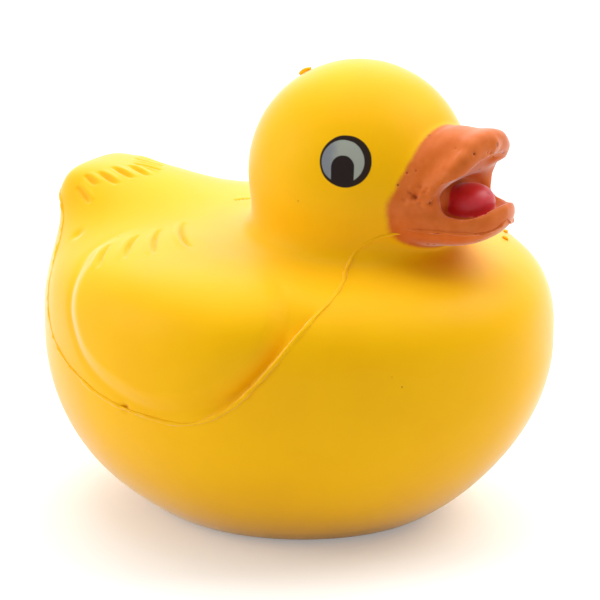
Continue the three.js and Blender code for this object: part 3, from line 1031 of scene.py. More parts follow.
@dataclass(frozen=True)
class Seam:
    """The line where the halves of the mould met, and the flattened strip above it beside the neck.

    The trunk's line is in degrees from the body's centre. The others are in mm, on the duck's right side.
    The strip fades out between the two azimuths of each fade.
    """

    trunk_line: tuple = (
        (180, 23),
        (167, 21.5),
        (147, 12.5),
        (136, 2),
        (120, -3.5),
        (108, -6),
        (95, -7),
        (84, -6.8),
        (75, -3),
        (69, 2),
        (62, 10),
        (57, 16),
        (50, 23),
    )
    neck_line: tuple = (
        (-23.5, -22.6, 46.8),
        (-20.1, -21.8, 47.8),
        (-17.6, -20.6, 48.9),
        (-14.8, -20.9, 51.6),
        (-12.6, -23.6, 53.7),
        (-9.6, -26.4, 55.0),
    )
    bill_line: tuple = (
        (-10.4, -27.2, 55.7),
        (-10.0, -29.2, 55.4),
        (-9.1, -31.3, 55.3),
        (-7.9, -34.4, 55.25),
        (-6.2, -37.1, 55.1),
        (-4.0, -38.8, 54.9),
        (-2.2, -39.7, 55.3),
        (-0.9, -40.2, 56.0),
        (0.0, -40.4, 56.6),
    )
    trunk_bead: Bead = Bead(half_width=0.34, height=0.2, lumps=11, painted=False)
    bill_bead: Bead = Bead(half_width=0.3, height=0.3, lumps=21, painted=True)
    strip_depth: float = 1.7
    strip_width: float = 6.0
    strip_edge: float = 0.7
    strip_azimuths: tuple = (38.0, 108.0)
    strip_elevations: tuple = (-12.0, 45.0)
    wing_fade: tuple = (86.0, 64.0)
    neck_fade: tuple = (50.0, 57.0)
    side_slack: float = 1.0
    settle_rounds: int = 6
    trunk_steps: int = 14
    bill_steps: int = 10
    strip_steps: int = 8

    def trunk_route(self, form: DuckForm) -> Array:
        """Points of the seam on the duck's right side, from the tail to the bill."""
        low = np.array(self.trunk_line, float)
        corners = np.vstack([form.on_trunk(low[:, 0], low[:, 1]), np.array(self.neck_line)])
        return form.settle(smooth_curve(list(corners), self.trunk_steps), self.settle_rounds)

    def bill_route(self, form: DuckForm) -> Array:
        """Points of the seam's run along the lower bill, on the duck's right side."""
        return form.settle(smooth_curve(list(self.bill_line), self.bill_steps), self.settle_rounds)

    def height(self, points: Array, azimuth: Array, elevation: Array) -> Array:
        """Height of the strip: above the seam the skin steps down, and climbs back over the strip's width.

        The step is deepest beside the neck and fades out under the wing.

        Args:
            points: skin points in mm, one per row.
            azimuth, elevation: their angles in degrees.

        Returns:
            One height per point, in mm.
        """
        front, rear = self.strip_azimuths
        low, high = self.strip_elevations
        near = (azimuth > front) & (azimuth < rear) & (elevation > low) & (elevation < high)
        flat = np.stack([azimuth[near], elevation[near]], axis=1)
        gap, _, foot = nearest_on_path(flat, smooth_curve(list(self.trunk_line), self.strip_steps))
        above = (flat[:, 1] - foot[:, 1] > 0) & (flat[:, 0] - foot[:, 0] > -self.side_slack)
        gap = gap * MM_PER_DEGREE
        strength = smooth_step(*self.wing_fade, foot[:, 0]) * smooth_step(*self.neck_fade, foot[:, 0])
        dip = bell(gap, self.strip_width) * smooth_step(0.0, self.strip_edge, gap)
        result = np.zeros(len(points))
        result[near] = -self.strip_depth * strength * dip * above
        return result


@dataclass(frozen=True)
class Dents:
    """Pits, dents and cracks: marks of x, y, z, radius and depth in mm, and a share of full dark: painted
    shade in dents and cracks, own colour in shallow specks.
    """

    marks: tuple = (
        (-5.19, -37.08, 68.24, 0.3, 0.35, 1.2),
        (-8.04, -34.92, 64.88, 0.24, 0.25, 1.0),
        (-5.37, -33.57, 68.73, 0.2, 0.2, 0.7),
        (-9.65, -27.15, 64.52, 0.22, 0.2, 0.8),
        (-11.09, -26.36, 62.71, 0.24, 0.2, 0.8),
        (-7.23, -29.77, 52.43, 0.26, 0.25, 1.0),
        (-6.7, -30.6, 52.3, 0.22, 0.25, 0.9),
        (-8.53, -34.1, 63.52, 0.2, 0.15, 0.6),
        (-8.75, -28.3, 64.82, 0.24, 0.15, 0.6),
        (3.0, -33.22, 63.0, 0.24, 0.2, 0.9),
        (3.86, -35.14, 65.48, 0.22, 0.2, 0.8),
        (-1.28, -37.7, 67.76, 0.3, 0.2, 0.6),
        (-2.1, -37.6, 67.9, 0.22, 0.2, 0.6),
        (-10.32, -29.15, 60.96, 0.62, 0.95, 0.55),
        (-10.6, -28.3, 61.6, 0.4, 0.35, 0.4),
        (-9.71, -30.67, 61.91, 0.42, 0.5, 0.5),
        (-9.55, -31.1, 62.4, 0.3, 0.4, 0.5),
        (-9.9, -30.2, 60.3, 0.35, 0.4, 0.35),
        (-9.6, -31.0, 60.05, 0.3, 0.5, 0.7),
        (-9.45, -31.48, 60.13, 0.28, 0.6, 0.9),
        (-9.11, -32.03, 60.3, 0.28, 0.7, 1.0),
        (-8.73, -32.55, 60.63, 0.28, 0.6, 1.0),
        (-8.45, -32.9, 60.95, 0.24, 0.4, 0.9),
        (-11.02, -27.69, 60.39, 0.5, 0.3, 0.3),
        (-10.7, -28.47, 58.24, 0.6, 0.25, 0.25),
        (-9.59, -29.63, 62.55, 0.45, 0.35, 0.4),
        (-9.4, -31.08, 59.03, 0.8, 0.2, 0.1),
        (-39.32, 8.21, 25.91, 0.7, 0.5, 0.3),
        (-17.96, 33.79, 45.93, 1.1, 0.4, 0.2),
        (-18.37, -11.76, 59.38, 0.2, 0.1, 0.7),
        (-23.3, -35.27, 33.37, 0.2, 0.1, 0.65),
        (-24.52, -34.13, 35.19, 0.18, 0.1, 0.55),
        (-20.24, 23.43, 47.73, 0.2, 0.1, 0.6),
        (2.75, 15.39, 49.92, 0.3, 0.25, 0.5),
        (3.4, 15.15, 49.88, 0.3, 0.3, 0.6),
        (4.11, 14.89, 49.85, 0.3, 0.3, 0.7),
        (4.7, 14.5, 49.8, 0.3, 0.25, 0.6),
        (5.18, 14.17, 49.78, 0.26, 0.2, 0.5),
    )
    wrinkle_place: tuple = (-10.2, -29.6, 60.3)
    wrinkle_reach: float = 2.4
    wrinkle_height: float = 0.34
    wrinkle_lumps: tuple = (8, 9)
    wrinkle_sizes: tuple = (1.3, 0.6)
    fine_share: float = 0.6
    # Painted shade in the wrinkles' hollows: darkness per unit that they dip past the level under which they
    # stay light.
    wrinkle_shade: float = 0.7
    unshaded_wrinkle: float = 0.35

    def gaps(self, points: Array) -> list:
        """Squared distance of every point to each mark."""
        return [((points - np.array(mark[:3])) ** 2).sum(axis=1) for mark in self.marks]

    def nearness(self, points: Array) -> Array:
        """Distance of every point to the nearest mark."""
        return np.sqrt(np.min(self.gaps(points), axis=0))

    def wrinkles(self, points: Array) -> Array:
        """Uneven heights at the mouth's corner, from about -1 to 1, that fade out round it."""
        gap = ((points - np.array(self.wrinkle_place)) ** 2).sum(axis=1)
        spread = np.exp(-gap / (self.wrinkle_reach * self.wrinkle_reach))
        coarse, fine = (Lumps(n).at(points, size) for n, size in zip(self.wrinkle_lumps, self.wrinkle_sizes))
        return spread * (coarse + self.fine_share * fine)

    def height(self, points: Array) -> Array:
        """Sum of round dents, each a bell curve of its distance, and the wrinkles at the mouth's corner.

        Args:
            points: skin points in mm, one per row.

        Returns:
            One height per point, in mm.
        """
        result = self.wrinkle_height * self.wrinkles(points)
        for gap, (_, _, _, radius, depth, _) in zip(self.gaps(points), self.marks):
            result -= depth * np.exp(-gap / (radius * radius))
        return result

    def dirt_and_shade(self, points: Array) -> Array:
        """Share of dark, from 0 to 1: painted shade in the dents, cracks and lowest wrinkles, and dark
        colour at the shallow specks.

        Args:
            points: skin points in mm, one per row.

        Returns:
            One share per point.
        """
        # Painted shade: the wrinkles' hollows are darkened below a set depth, and each mark by a bell curve
        # like its dent.
        result = self.wrinkle_shade * np.maximum(-self.wrinkles(points) - self.unshaded_wrinkle, 0.0)
        for gap, (_, _, _, radius, _, share) in zip(self.gaps(points), self.marks):
            result += share * np.exp(-gap / (radius * radius))
        return np.clip(result, 0.0, 1.0)


@dataclass(frozen=True)
class BillGrooves:
    """The valley behind the rolled lip and the swelling above it: lines on the duck's right side, in mm.

    Each line fades in over the spans of `end_fade` at both ends, and all lie inside the box, given by its
    greatest |x|, its greatest y and its lowest z.
    """

    valley: tuple = (
        (-9.6, -31.6, 61.6),
        (-9.2, -32.7, 63.4),
        (-8.4, -33.4, 65.8),
        (-6.7, -34.0, 68.0),
        (-5.6, -34.6, 69.1),
        (-4.4, -35.2, 69.8),
    )
    valley_depth: float = 0.5
    valley_width: float = 1.5
    swelling: tuple = ((-10.0, -29.0, 62.6), (-8.4, -28.9, 65.0), (-6.3, -29.2, 67.5), (-4.0, -30.0, 69.3))
    swelling_height: float = 0.35
    swelling_width: float = 2.2
    curve_steps: int = 4
    end_fade: tuple = (-0.5, 6.0)
    box: tuple = (14.0, -24.0, 57.0)

    def line(self, points: Array, places: tuple, height: float, width: float) -> Array:
        """Height of a ridge, or a groove where `height` is below zero, on a line that fades at its ends.

        Args:
            points: skin points in mm.
            places: the line's corners.
            height: height in mm.
            width: width in mm.

        Returns:
            One height per point, in mm.
        """
        path = smooth_curve(list(places), self.curve_steps)
        gap, place, _ = nearest_on_path(points, path)
        fade = smooth_step(*self.end_fade, place) * smooth_step(*self.end_fade, len(path) - 1.0 - place)
        return height * fade * bell(gap, width)

    def height(self, points: Array) -> Array:
        """Height of both lines on both sides, in mm.

        Args:
            points: skin points in mm, one per row.

        Returns:
            One height per point, in mm.
        """
        side, back, low = self.box
        near = (np.abs(points[:, 0]) < side) & (points[:, 1] < back) & (points[:, 2] > low)
        mirrored = on_right_side(points[near])
        result = np.zeros(len(points))
        result[near] = self.line(mirrored, self.valley, -self.valley_depth, self.valley_width)
        result[near] += self.line(mirrored, self.swelling, self.swelling_height, self.swelling_width)
        return result


def tube_faces(rings: int, sides: int, clockwise: bool = False) -> list:
    """Faces of a closed tube, whose points are its rings in order and then the middles of both ends.

    Args:
        rings: number of rings.
        sides: number of points on a ring.
        clockwise: whether the rings run clockwise, seen from the first end.

    Returns:
        The four-sided faces along the tube and the three-sided faces at its ends, turned outwards.
    """
    i, j = np.meshgrid(np.arange(rings - 1), np.arange(sides), indexing="ij")
    after = (j + 1) % sides
    here, there = i * sides, (i + 1) * sides
    quads = np.stack([here + j, there + j, there + after, here + after], axis=-1)
    first, last, edge = rings * sides, rings * sides + 1, (rings - 1) * sides
    j = np.arange(sides)
    after = (j + 1) % sides
    start = np.stack([np.full(sides, first), j, after], axis=1)
    end = np.stack([np.full(sides, last), edge + after, edge + j], axis=1)
    faces = [quads.reshape(-1, 4), np.vstack([start, end])]
    return [np.roll(part[:, ::-1], 1, axis=1) for part in faces] if clockwise else faces


def sweep(path: Array, normals: Array, half_width: Array, height: Array, sides: int = 8) -> tuple:
    """Sweeps a low half-round bead along a path on the skin.

    Each section is an ellipse of the given half width and height round its path point, with its flat way
    along the skin. Both ends close in a single point.

    Args:
        path: points along the bead, in mm.
        normals: outward skin directions at those points.
        half_width: half width at each point, in mm.
        height: height at each point, in mm.
        sides: corners of a section.

    Returns:
        Points and face arrays of the closed bead.
    """
    tangent = np.gradient(path, axis=0)
    tangent /= np.linalg.norm(tangent, axis=1)[:, None]
    across = np.cross(tangent, normals)
    across /= np.linalg.norm(across, axis=1)[:, None]
    turn = 2.0 * np.pi * np.arange(sides) / sides
    rings = (
        path[:, None, :]
        + across[:, None, :] * (half_width[:, None] * np.cos(turn))[..., None]
        + normals[:, None, :] * (height[:, None] * np.sin(turn))[..., None]
    )
    points = np.vstack([rings.reshape(-1, 3), path[:1], path[-1:]])
    return points, tube_faces(len(path), sides)


@dataclass(frozen=True)
class Flake:
    """A torn flake of foam: its place, half sizes along x, y and outwards, gap and lump size, in mm."""

    place: tuple
    half: tuple
    standoff: float
    lumps: int
    lump_size: float = 0.8
    lump_height: float = 0.28
    rings: int = 13
    sides: int = 20
    settle_rounds: int = 6

    def ball(self) -> Array:
        """Points of a ball of radius one: rings from its +Y pole to its -Y pole, then both poles."""
        turn = np.linspace(0.0, np.pi, self.rings + 2)[1:-1, None]
        lap = 2.0 * np.pi * np.arange(self.sides) / self.sides
        height = np.cos(turn) * np.ones(self.sides)
        rings = np.stack([np.sin(turn) * np.cos(lap), height, np.sin(turn) * np.sin(lap)], axis=-1)
        return np.vstack([rings.reshape(-1, 3), [[0.0, 1.0, 0.0], [0.0, -1.0, 0.0]]])

    def build(self, form: DuckForm) -> tuple:
        """Points and faces: a ball stretched to the half sizes and to random lumps, laid along the skin.

        Args:
            form: the duck's form.

        Returns:
            Points in mm, and face arrays.
        """
        ball = self.ball()
        lumps = 1.0 + self.lump_height * Lumps(self.lumps).at(ball, self.lump_size)
        centre = form.settle(np.array([self.place]), self.settle_rounds)
        out = form.normals(centre)[0]
        along = np.cross(np.array([1.0, 0.0, 0.0]), out)
        along /= np.linalg.norm(along)
        across = np.cross(along, out)
        local = ball * np.array(self.half) * lumps[:, None]
        base = centre[0] + out * self.standoff
        points = base + local[:, :1] * across + local[:, 1:2] * along + local[:, 2:] * out
        return points, tube_faces(self.rings, self.sides, clockwise=True)


FLAKES = (
    Flake((-1.5, -1.8, 76.0), (0.6, 1.25, 0.5), 0.3, 31),
    Flake((24.3, -25.3, 45.7), (0.5, 0.35, 0.3), 0.2, 32),
    Flake((18.9, -28.6, 46.4), (0.35, 0.6, 0.3), 0.2, 33),
)


@dataclass
class SkinMesh:
    """Vertices, faces and coat distances for the material, gathered from skin, beads and flakes."""

    points: Array
    faces: list
    coats: dict

    def add(self, points: Array, faces: list, coats: dict) -> None:
        """Adds another closed form, given by its points, its face arrays and its own coat distances."""
        shift = len(self.points)
        self.points = np.vstack([self.points, points])
        self.faces.extend(part + shift for part in faces)
        bare = np.full(len(points), UNPAINTED)
        for name in self.coats:
            self.coats[name] = np.concatenate([self.coats[name], coats.get(name, bare)])

    def build(self, name: str) -> bpy.types.Object:
        """Makes the Blender object, in metres, with smooth faces and one float attribute per coat.

        Args:
            name: name of the object and its mesh.

        Returns:
            The linked object.
        """
        mesh = bpy.data.meshes.new(name)
        loops = np.concatenate([f.reshape(-1) for f in self.faces]).astype(np.int32)
        sizes = np.concatenate([np.full(len(f), f.shape[1]) for f in self.faces])
        mesh.vertices.add(len(self.points))
        mesh.vertices.foreach_set("co", (self.points * METRES_PER_MM).astype(np.float32).ravel())
        mesh.loops.add(len(loops))
        mesh.loops.foreach_set("vertex_index", loops)
        mesh.polygons.add(len(sizes))
        starts = np.concatenate([[0], np.cumsum(sizes)[:-1]]).astype(np.int32)
        mesh.polygons.foreach_set("loop_start", starts)
        mesh.polygons.foreach_set("use_smooth", np.ones(len(sizes), bool))
        mesh.update(calc_edges=True)
        mesh.validate()
        for coat, values in self.coats.items():
            attribute = mesh.attributes.new(coat, "FLOAT", "POINT")
            attribute.data.foreach_set("value", values.astype(np.float32))
        obj = bpy.data.objects.new(name, mesh)
        bpy.context.scene.collection.objects.link(obj)
        return obj


@dataclass
class FaceNet:
    """Points and faces of a closed skin: the first face array holds quads, the others larger faces."""

    points: Array
    faces: list

    def neighbour_mean(self) -> Array:
        """Mean place of the points joined to each point by an edge."""
        start = np.concatenate([part.ravel() for part in self.faces])
        end = np.concatenate([np.roll(part, -1, axis=1).ravel() for part in self.faces])
        count = len(self.points)
        total = [np.bincount(start, self.points[end, axis.value], count) for axis in Axis]
        return np.stack(total, axis=1) / np.bincount(start, minlength=count)[:, None]

    def widen(self, chosen: Array) -> Array:
        """Adds to the chosen quads every quad that touches one of them."""
        touched = np.zeros(len(self.points), bool)
        touched[self.faces[0][chosen].ravel()] = True
        return touched[self.faces[0]].any(axis=1)

    def keys(self, faces: Array) -> Array:
        """One number for each edge of each face, the same from both sides of the edge."""
        after = np.roll(faces, -1, axis=1)
        return np.minimum(faces, after).astype(np.int64) * (len(self.points) + 1) + np.maximum(faces, after)

    def split(self, chosen: Array) -> None:
        """Cuts each chosen quad into four, and gives its neighbours the new edge middles as corners.

        Args:
            chosen: one truth value per quad.
        """
        count = len(self.points)
        quads = self.faces[0][chosen]
        keys = self.keys(quads)
        edges, place = np.unique(keys, return_inverse=True)
        middle = count + place.reshape(keys.shape)
        ends = np.stack([edges // (count + 1), edges % (count + 1)], axis=1)
        middles = self.points[ends].mean(axis=1)
        centres = self.points[quads].mean(axis=1)
        centre = count + len(edges) + np.arange(len(centres))
        parts = [np.stack([quads[:, i], middle[:, i], centre, middle[:, i - 1]], axis=1) for i in range(4)]
        sorted_out = {4: parts}
        for group in [self.faces[0][~chosen], *self.faces[1:]]:
            for size, faces in self.with_middles(group, edges):
                sorted_out.setdefault(size, []).append(faces)
        self.points = np.vstack([self.points, middles, centres])
        self.faces = [np.concatenate(sorted_out[size]) for size in sorted(sorted_out)]

    def with_middles(self, faces: Array, edges: Array) -> list:
        """Adds edge middles to faces that share a split edge.

        Args:
            faces: faces of one size.
            edges: sorted keys of the split edges, whose middles are numbered on from the last point.

        Returns:
            Pairs of a size and the faces of that size.
        """
        keys = self.keys(faces)
        found = np.minimum(np.searchsorted(edges, keys), len(edges) - 1)
        slots = np.full((len(faces), 2 * faces.shape[1]), -1)
        slots[:, 0::2] = faces
        slots[:, 1::2] = np.where(edges[found] == keys, len(self.points) + found, -1)
        sizes = (slots >= 0).sum(axis=1)
        groups = [(size, slots[sizes == size]) for size in np.unique(sizes)]
        return [(size, group[group >= 0].reshape(-1, size)) for size, group in groups]


@dataclass
class DuckSkin:
    """Builds the duck's skin mesh from its form and its surface details.

    The net is split once for each step limit, in mm: a face is cut where the details' height differs by more
    over it, or where a mark is nearer than that level's reach. The bill and its margin, a coat distance, are
    cut at the first level too. A swell is a lump number with a height and a size in mm.
    """

    form: DuckForm = field(default_factory=DuckForm)
    grid: SkinGrid = field(default_factory=SkinGrid)
    wings: Wings = field(default_factory=Wings)
    tail: TailFeathers = field(default_factory=TailFeathers)
    seam: Seam = field(default_factory=Seam)
    dents: Dents = field(default_factory=Dents)
    bill_grooves: BillGrooves = field(default_factory=BillGrooves)
    step_limits: tuple = (0.07, 0.13, math.inf)
    mark_reach: tuple = (1.2, 0.75, 0.4)
    bill_margin: float = -0.8
    relax_passes: int = 3
    relax_settling: int = 2
    head_fade: tuple = (0.5, 2.5)
    base_fade: tuple = (0.0, 2.0)
    highest_trunk: float = 56.0
    swells: tuple = ((3, 0.05, 9.0), (4, 0.02, 3.5))

    def net(self) -> FaceNet:
        """The plain skin: grid distances mirrored about x = 0, then one vertex per crossed cell."""
        across, along, up = self.grid.across(), self.grid.along(), self.grid.up()
        half = self.form.grid(across, along, up)
        values = np.concatenate([half[::-1], half])
        axes = [np.concatenate([-across[::-1], across]), along, up]
        points, number = net_vertices(values, axes)
        return FaceNet(self.form.settle(points), [net_faces(values, number)])

    def refine(self, net: FaceNet) -> None:
        """Splits faces three times: the bill and uneven places, then steeper ones, then those at marks.

        Args:
            net: the skin, changed in place.
        """
        last = len(self.step_limits) - 1
        for level, (uneven, reach) in enumerate(zip(self.step_limits, self.mark_reach)):
            quads = net.faces[0]
            corner = self.details(net.points)[quads]
            chosen = corner.max(axis=1) - corner.min(axis=1) > uneven
            chosen |= (self.dents.nearness(net.points) < reach)[quads].any(axis=1)
            if level == 0:
                chosen |= (self.coats(net.points)["bill_coat"][quads] > self.bill_margin).any(axis=1)
            start = len(net.points)
            net.split(net.widen(chosen))
            net.points[start:] = self.form.settle(net.points[start:])
            if level < last:
                self.relax(net)

    def relax(self, net: FaceNet) -> None:
        """Evens out the bill's points: each goes half-way to its neighbours' mean, then onto the surface.

        Args:
            net: the skin, changed in place.
        """
        chosen = self.coats(net.points)["bill_coat"] > 0.0
        for _ in range(self.relax_passes):
            middle = net.neighbour_mean()
            moved = 0.5 * (net.points[chosen] + middle[chosen])
            net.points[chosen] = self.form.settle(moved, self.relax_settling)

    def details(self, points: Array) -> Array:
        """Height of every surface detail along the skin's outward direction, in mm.

        Args:
            points: skin points in mm, one per row.

        Returns:
            One height per point, in mm.
        """
        from_centre = points - self.form.trunk.centre()
        azimuth = np.degrees(np.arctan2(np.abs(from_centre[:, 0]), -from_centre[:, 1]))
        flat = np.hypot(from_centre[:, 0], from_centre[:, 1])
        elevation = np.degrees(np.arctan2(from_centre[:, 2], flat))
        head_gap = np.linalg.norm(points - self.form.head.centre(), axis=1) - self.form.head.radius
        height = self.wings.height(self.form, points, azimuth, elevation)
        height += self.seam.height(points, azimuth, elevation)
        height *= smooth_step(*self.head_fade, head_gap) * (points[:, 2] < self.highest_trunk)
        height += self.tail.height(self.form, points)
        height += self.dents.height(points)
        height += self.bill_grooves.height(points)
        for number, swell, size in self.swells:
            height += swell * Lumps(number).at(points, size)
        return height * smooth_step(*self.base_fade, points[:, 2])

    def coats(self, points: Array) -> dict:
        """Signed distances, in mm, that say where each paint lies: positive inside the painted area.

        The orange covers what the flaps add to the plain duck, and lines the mouth. The red covers the
        tongue's own form in front of a set place.

        Args:
            points: skin points in mm, one per row.

        Returns:
            One array per coat, by its name.
        """
        form, bill = self.form, self.form.bill
        near = form.near_bill(points)
        where = points[near].T
        orange, red, tongue = (np.full(len(points), UNPAINTED) for _ in range(3))
        inner = np.minimum(bill.hollow(*where), bill.gape(*where))
        orange[near] = np.maximum(form.plain(*where) - bill.flaps(*where), bill.mouth_paint_depth - inner)
        red[near] = -where[1] - bill.tongue_paint_back
        tongue[near] = bill.tongue_paint_gap - bill.tongue(*where)
        # Share of dark: painted shade in dents, cracks and wrinkle hollows, and dark colour at the specks.
        dirt_and_shade = self.dents.dirt_and_shade(points)
        return {"bill_coat": orange, "tongue_coat": red, "tongue_form": tongue, "dirt_and_shade": dirt_and_shade}

    def add_bead(self, skin: SkinMesh, bead: Bead, route: Array) -> None:
        """Lays a bead on both sides, along a route of points on the duck's right side.

        Args:
            skin: the mesh that takes it.
            bead: its sizes.
            route: points on the duck's right side, in mm.
        """
        path = bead.spaced(route)
        normals = self.form.normals(path)
        for side in (1.0, -1.0):
            flip = np.array([side, 1.0, 1.0])
            points, faces = bead.swept(path * flip, normals * flip)
            skin.add(points, faces, bead.coats(points))

    def build(self) -> bpy.types.Object:
        """Builds skin, seam beads and torn flakes as one mesh object."""
        net = self.net()
        self.refine(net)
        LOG.info("skin net: %d points, %d quads", len(net.points), len(net.faces[0]))
        height = self.details(net.points)
        points = net.points + self.form.normals(net.points) * height[:, None]
        skin = SkinMesh(points, net.faces, self.coats(net.points))
        self.add_bead(skin, self.seam.trunk_bead, self.seam.trunk_route(self.form))
        self.add_bead(skin, self.seam.bill_bead, self.seam.bill_route(self.form))
        for flake in FLAKES:
            skin.add(*flake.build(self.form), {})
        return skin.build("duck_skin")


class NodeBuilder:
    """Short-hand for making shader nodes and links in one node tree."""

    def __init__(self, tree: bpy.types.NodeTree) -> None:
        """Starts with an empty tree."""
        self.tree = tree
        tree.nodes.clear()

    def node(self, kind: str, **settings: object) -> bpy.types.Node:
        """Adds a node and sets its options."""
        made = self.tree.nodes.new(kind)
        for name, value in settings.items():
            setattr(made, name, value)
        return made

    def link(self, source: object, target: object) -> None:
        """Links an output socket to an input socket, or sets the input to a plain value."""
        if isinstance(source, bpy.types.NodeSocket):
            self.tree.links.new(source, target)
        else:
            target.default_value = source

    def math(self, operation: str, *values: object) -> bpy.types.NodeSocket:
        """A Math node on the given values or sockets."""
        made = self.node("ShaderNodeMath", operation=operation)
        for index, value in enumerate(values):
            self.link(value, made.inputs[index])
        return made.outputs[0]

    def vector_math(self, operation: str, *values: object, output: int = 0) -> bpy.types.NodeSocket:
        """A Vector Math node; output 1 is the single value of a dot product, length or distance."""
        made = self.node("ShaderNodeVectorMath", operation=operation)
        for index, value in enumerate(values):
            self.link(value, made.inputs[index])
        return made.outputs[output]

    def step(self, value: object, low: float, high: float) -> bpy.types.NodeSocket:
        """A smooth step of a value from `low` to `high`; a higher `low` than `high` turns it round.

        Args:
            value: a socket or number.
            low, high: where the step starts and ends.

        Returns:
            The node's output socket.
        """
        made = self.node("ShaderNodeMapRange", interpolation_type="SMOOTHSTEP")
        self.link(value, made.inputs["Value"])
        ends = (low, high, 0.0, 1.0) if low < high else (high, low, 1.0, 0.0)
        for name, end in zip(("From Min", "From Max", "To Min", "To Max"), ends):
            made.inputs[name].default_value = end
        return made.outputs["Result"]

    def mix(self, share: object, first: object, second: object) -> bpy.types.NodeSocket:
        """Mixes two colours."""
        made = self.node("ShaderNodeMix", data_type="RGBA")
        self.link(share, made.inputs[0])
        self.link(first, made.inputs[6])
        self.link(second, made.inputs[7])
        return made.outputs[2]

    def mix_value(self, share: object, first: object, second: object) -> bpy.types.NodeSocket:
        """Mixes two values."""
        made = self.node("ShaderNodeMix", data_type="FLOAT")
        self.link(share, made.inputs[0])
        self.link(first, made.inputs[2])
        self.link(second, made.inputs[3])
        return made.outputs[0]

    def noise(
        self, place: object, scale: object, detail: float = 2.0, rough: float = 0.5
    ) -> bpy.types.NodeSocket:
        """A noise value over a position."""
        made = self.node("ShaderNodeTexNoise")
        self.link(place, made.inputs["Vector"])
        self.link(scale, made.inputs["Scale"])
        made.inputs["Detail"].default_value = detail
        made.inputs["Roughness"].default_value = rough
        return made.outputs["Fac"]

    def attribute(self, name: str) -> bpy.types.NodeSocket:
        """The value of a float attribute of the mesh."""
        return self.node("ShaderNodeAttribute", attribute_name=name).outputs["Fac"]

    def seen(self) -> bpy.types.NodeSocket:
        """One for camera, glossy and transmission rays, nothing for the rays that light the duck."""
        path = self.node("ShaderNodeLightPath").outputs
        either = self.math("MAXIMUM", path["Is Camera Ray"], path["Is Glossy Ray"])
        return self.math("MAXIMUM", either, path["Is Transmission Ray"])


def linear(red: int, green: int, blue: int) -> tuple:
    """A colour given as 0 to 255 values, turned to the linear values that shaders use."""
    parts = [v / 255.0 for v in (red, green, blue)]
    return tuple(v / 12.92 if v <= 0.04045 else ((v + 0.055) / 1.055) ** 2.4 for v in parts) + (1.0,)


@dataclass(frozen=True)
class Coat:
    """One finish on the foam: two shades that mottle into each other, its pits, and how it takes light."""

    shade: tuple
    light: tuple
    pit_colour: tuple
    mottle_scale: float
    pit_share: float
    roughness: float
    shine: float
    sheen: float


FOAM = Coat(
    shade=linear(249, 186, 0),
    light=linear(252, 191, 0),
    pit_colour=linear(190, 130, 0),
    mottle_scale=60.0,
    pit_share=0.0,
    roughness=0.42,
    shine=0.1,
    sheen=0.65,
)
ORANGE = Coat(
    shade=linear(207, 102, 36),
    light=linear(215, 112, 50),
    pit_colour=linear(110, 45, 15),
    mottle_scale=420.0,
    pit_share=0.5,
    roughness=0.45,
    shine=0.1,
    sheen=0.9,
)
RED = Coat(
    shade=linear(200, 34, 38),
    light=linear(214, 54, 66),
    pit_colour=linear(150, 12, 18),
    mottle_scale=200.0,
    pit_share=0.3,
    roughness=0.4,
    shine=0.4,
    sheen=0.5,
)


@dataclass(frozen=True)
class RaggedEdge:
    """Noise that moves the border of a paint: its scale, roughness and reach in mm."""

    scale: float
    rough: float
    reach: float

    def offset(self, b: NodeBuilder, place: object) -> bpy.types.NodeSocket:
        """Offset of the border at a position: noise around nothing, times the reach."""
        noise = b.noise(place, self.scale, 4.0, self.rough)
        return b.math("MULTIPLY", b.math("SUBTRACT", noise, 0.5), self.reach)


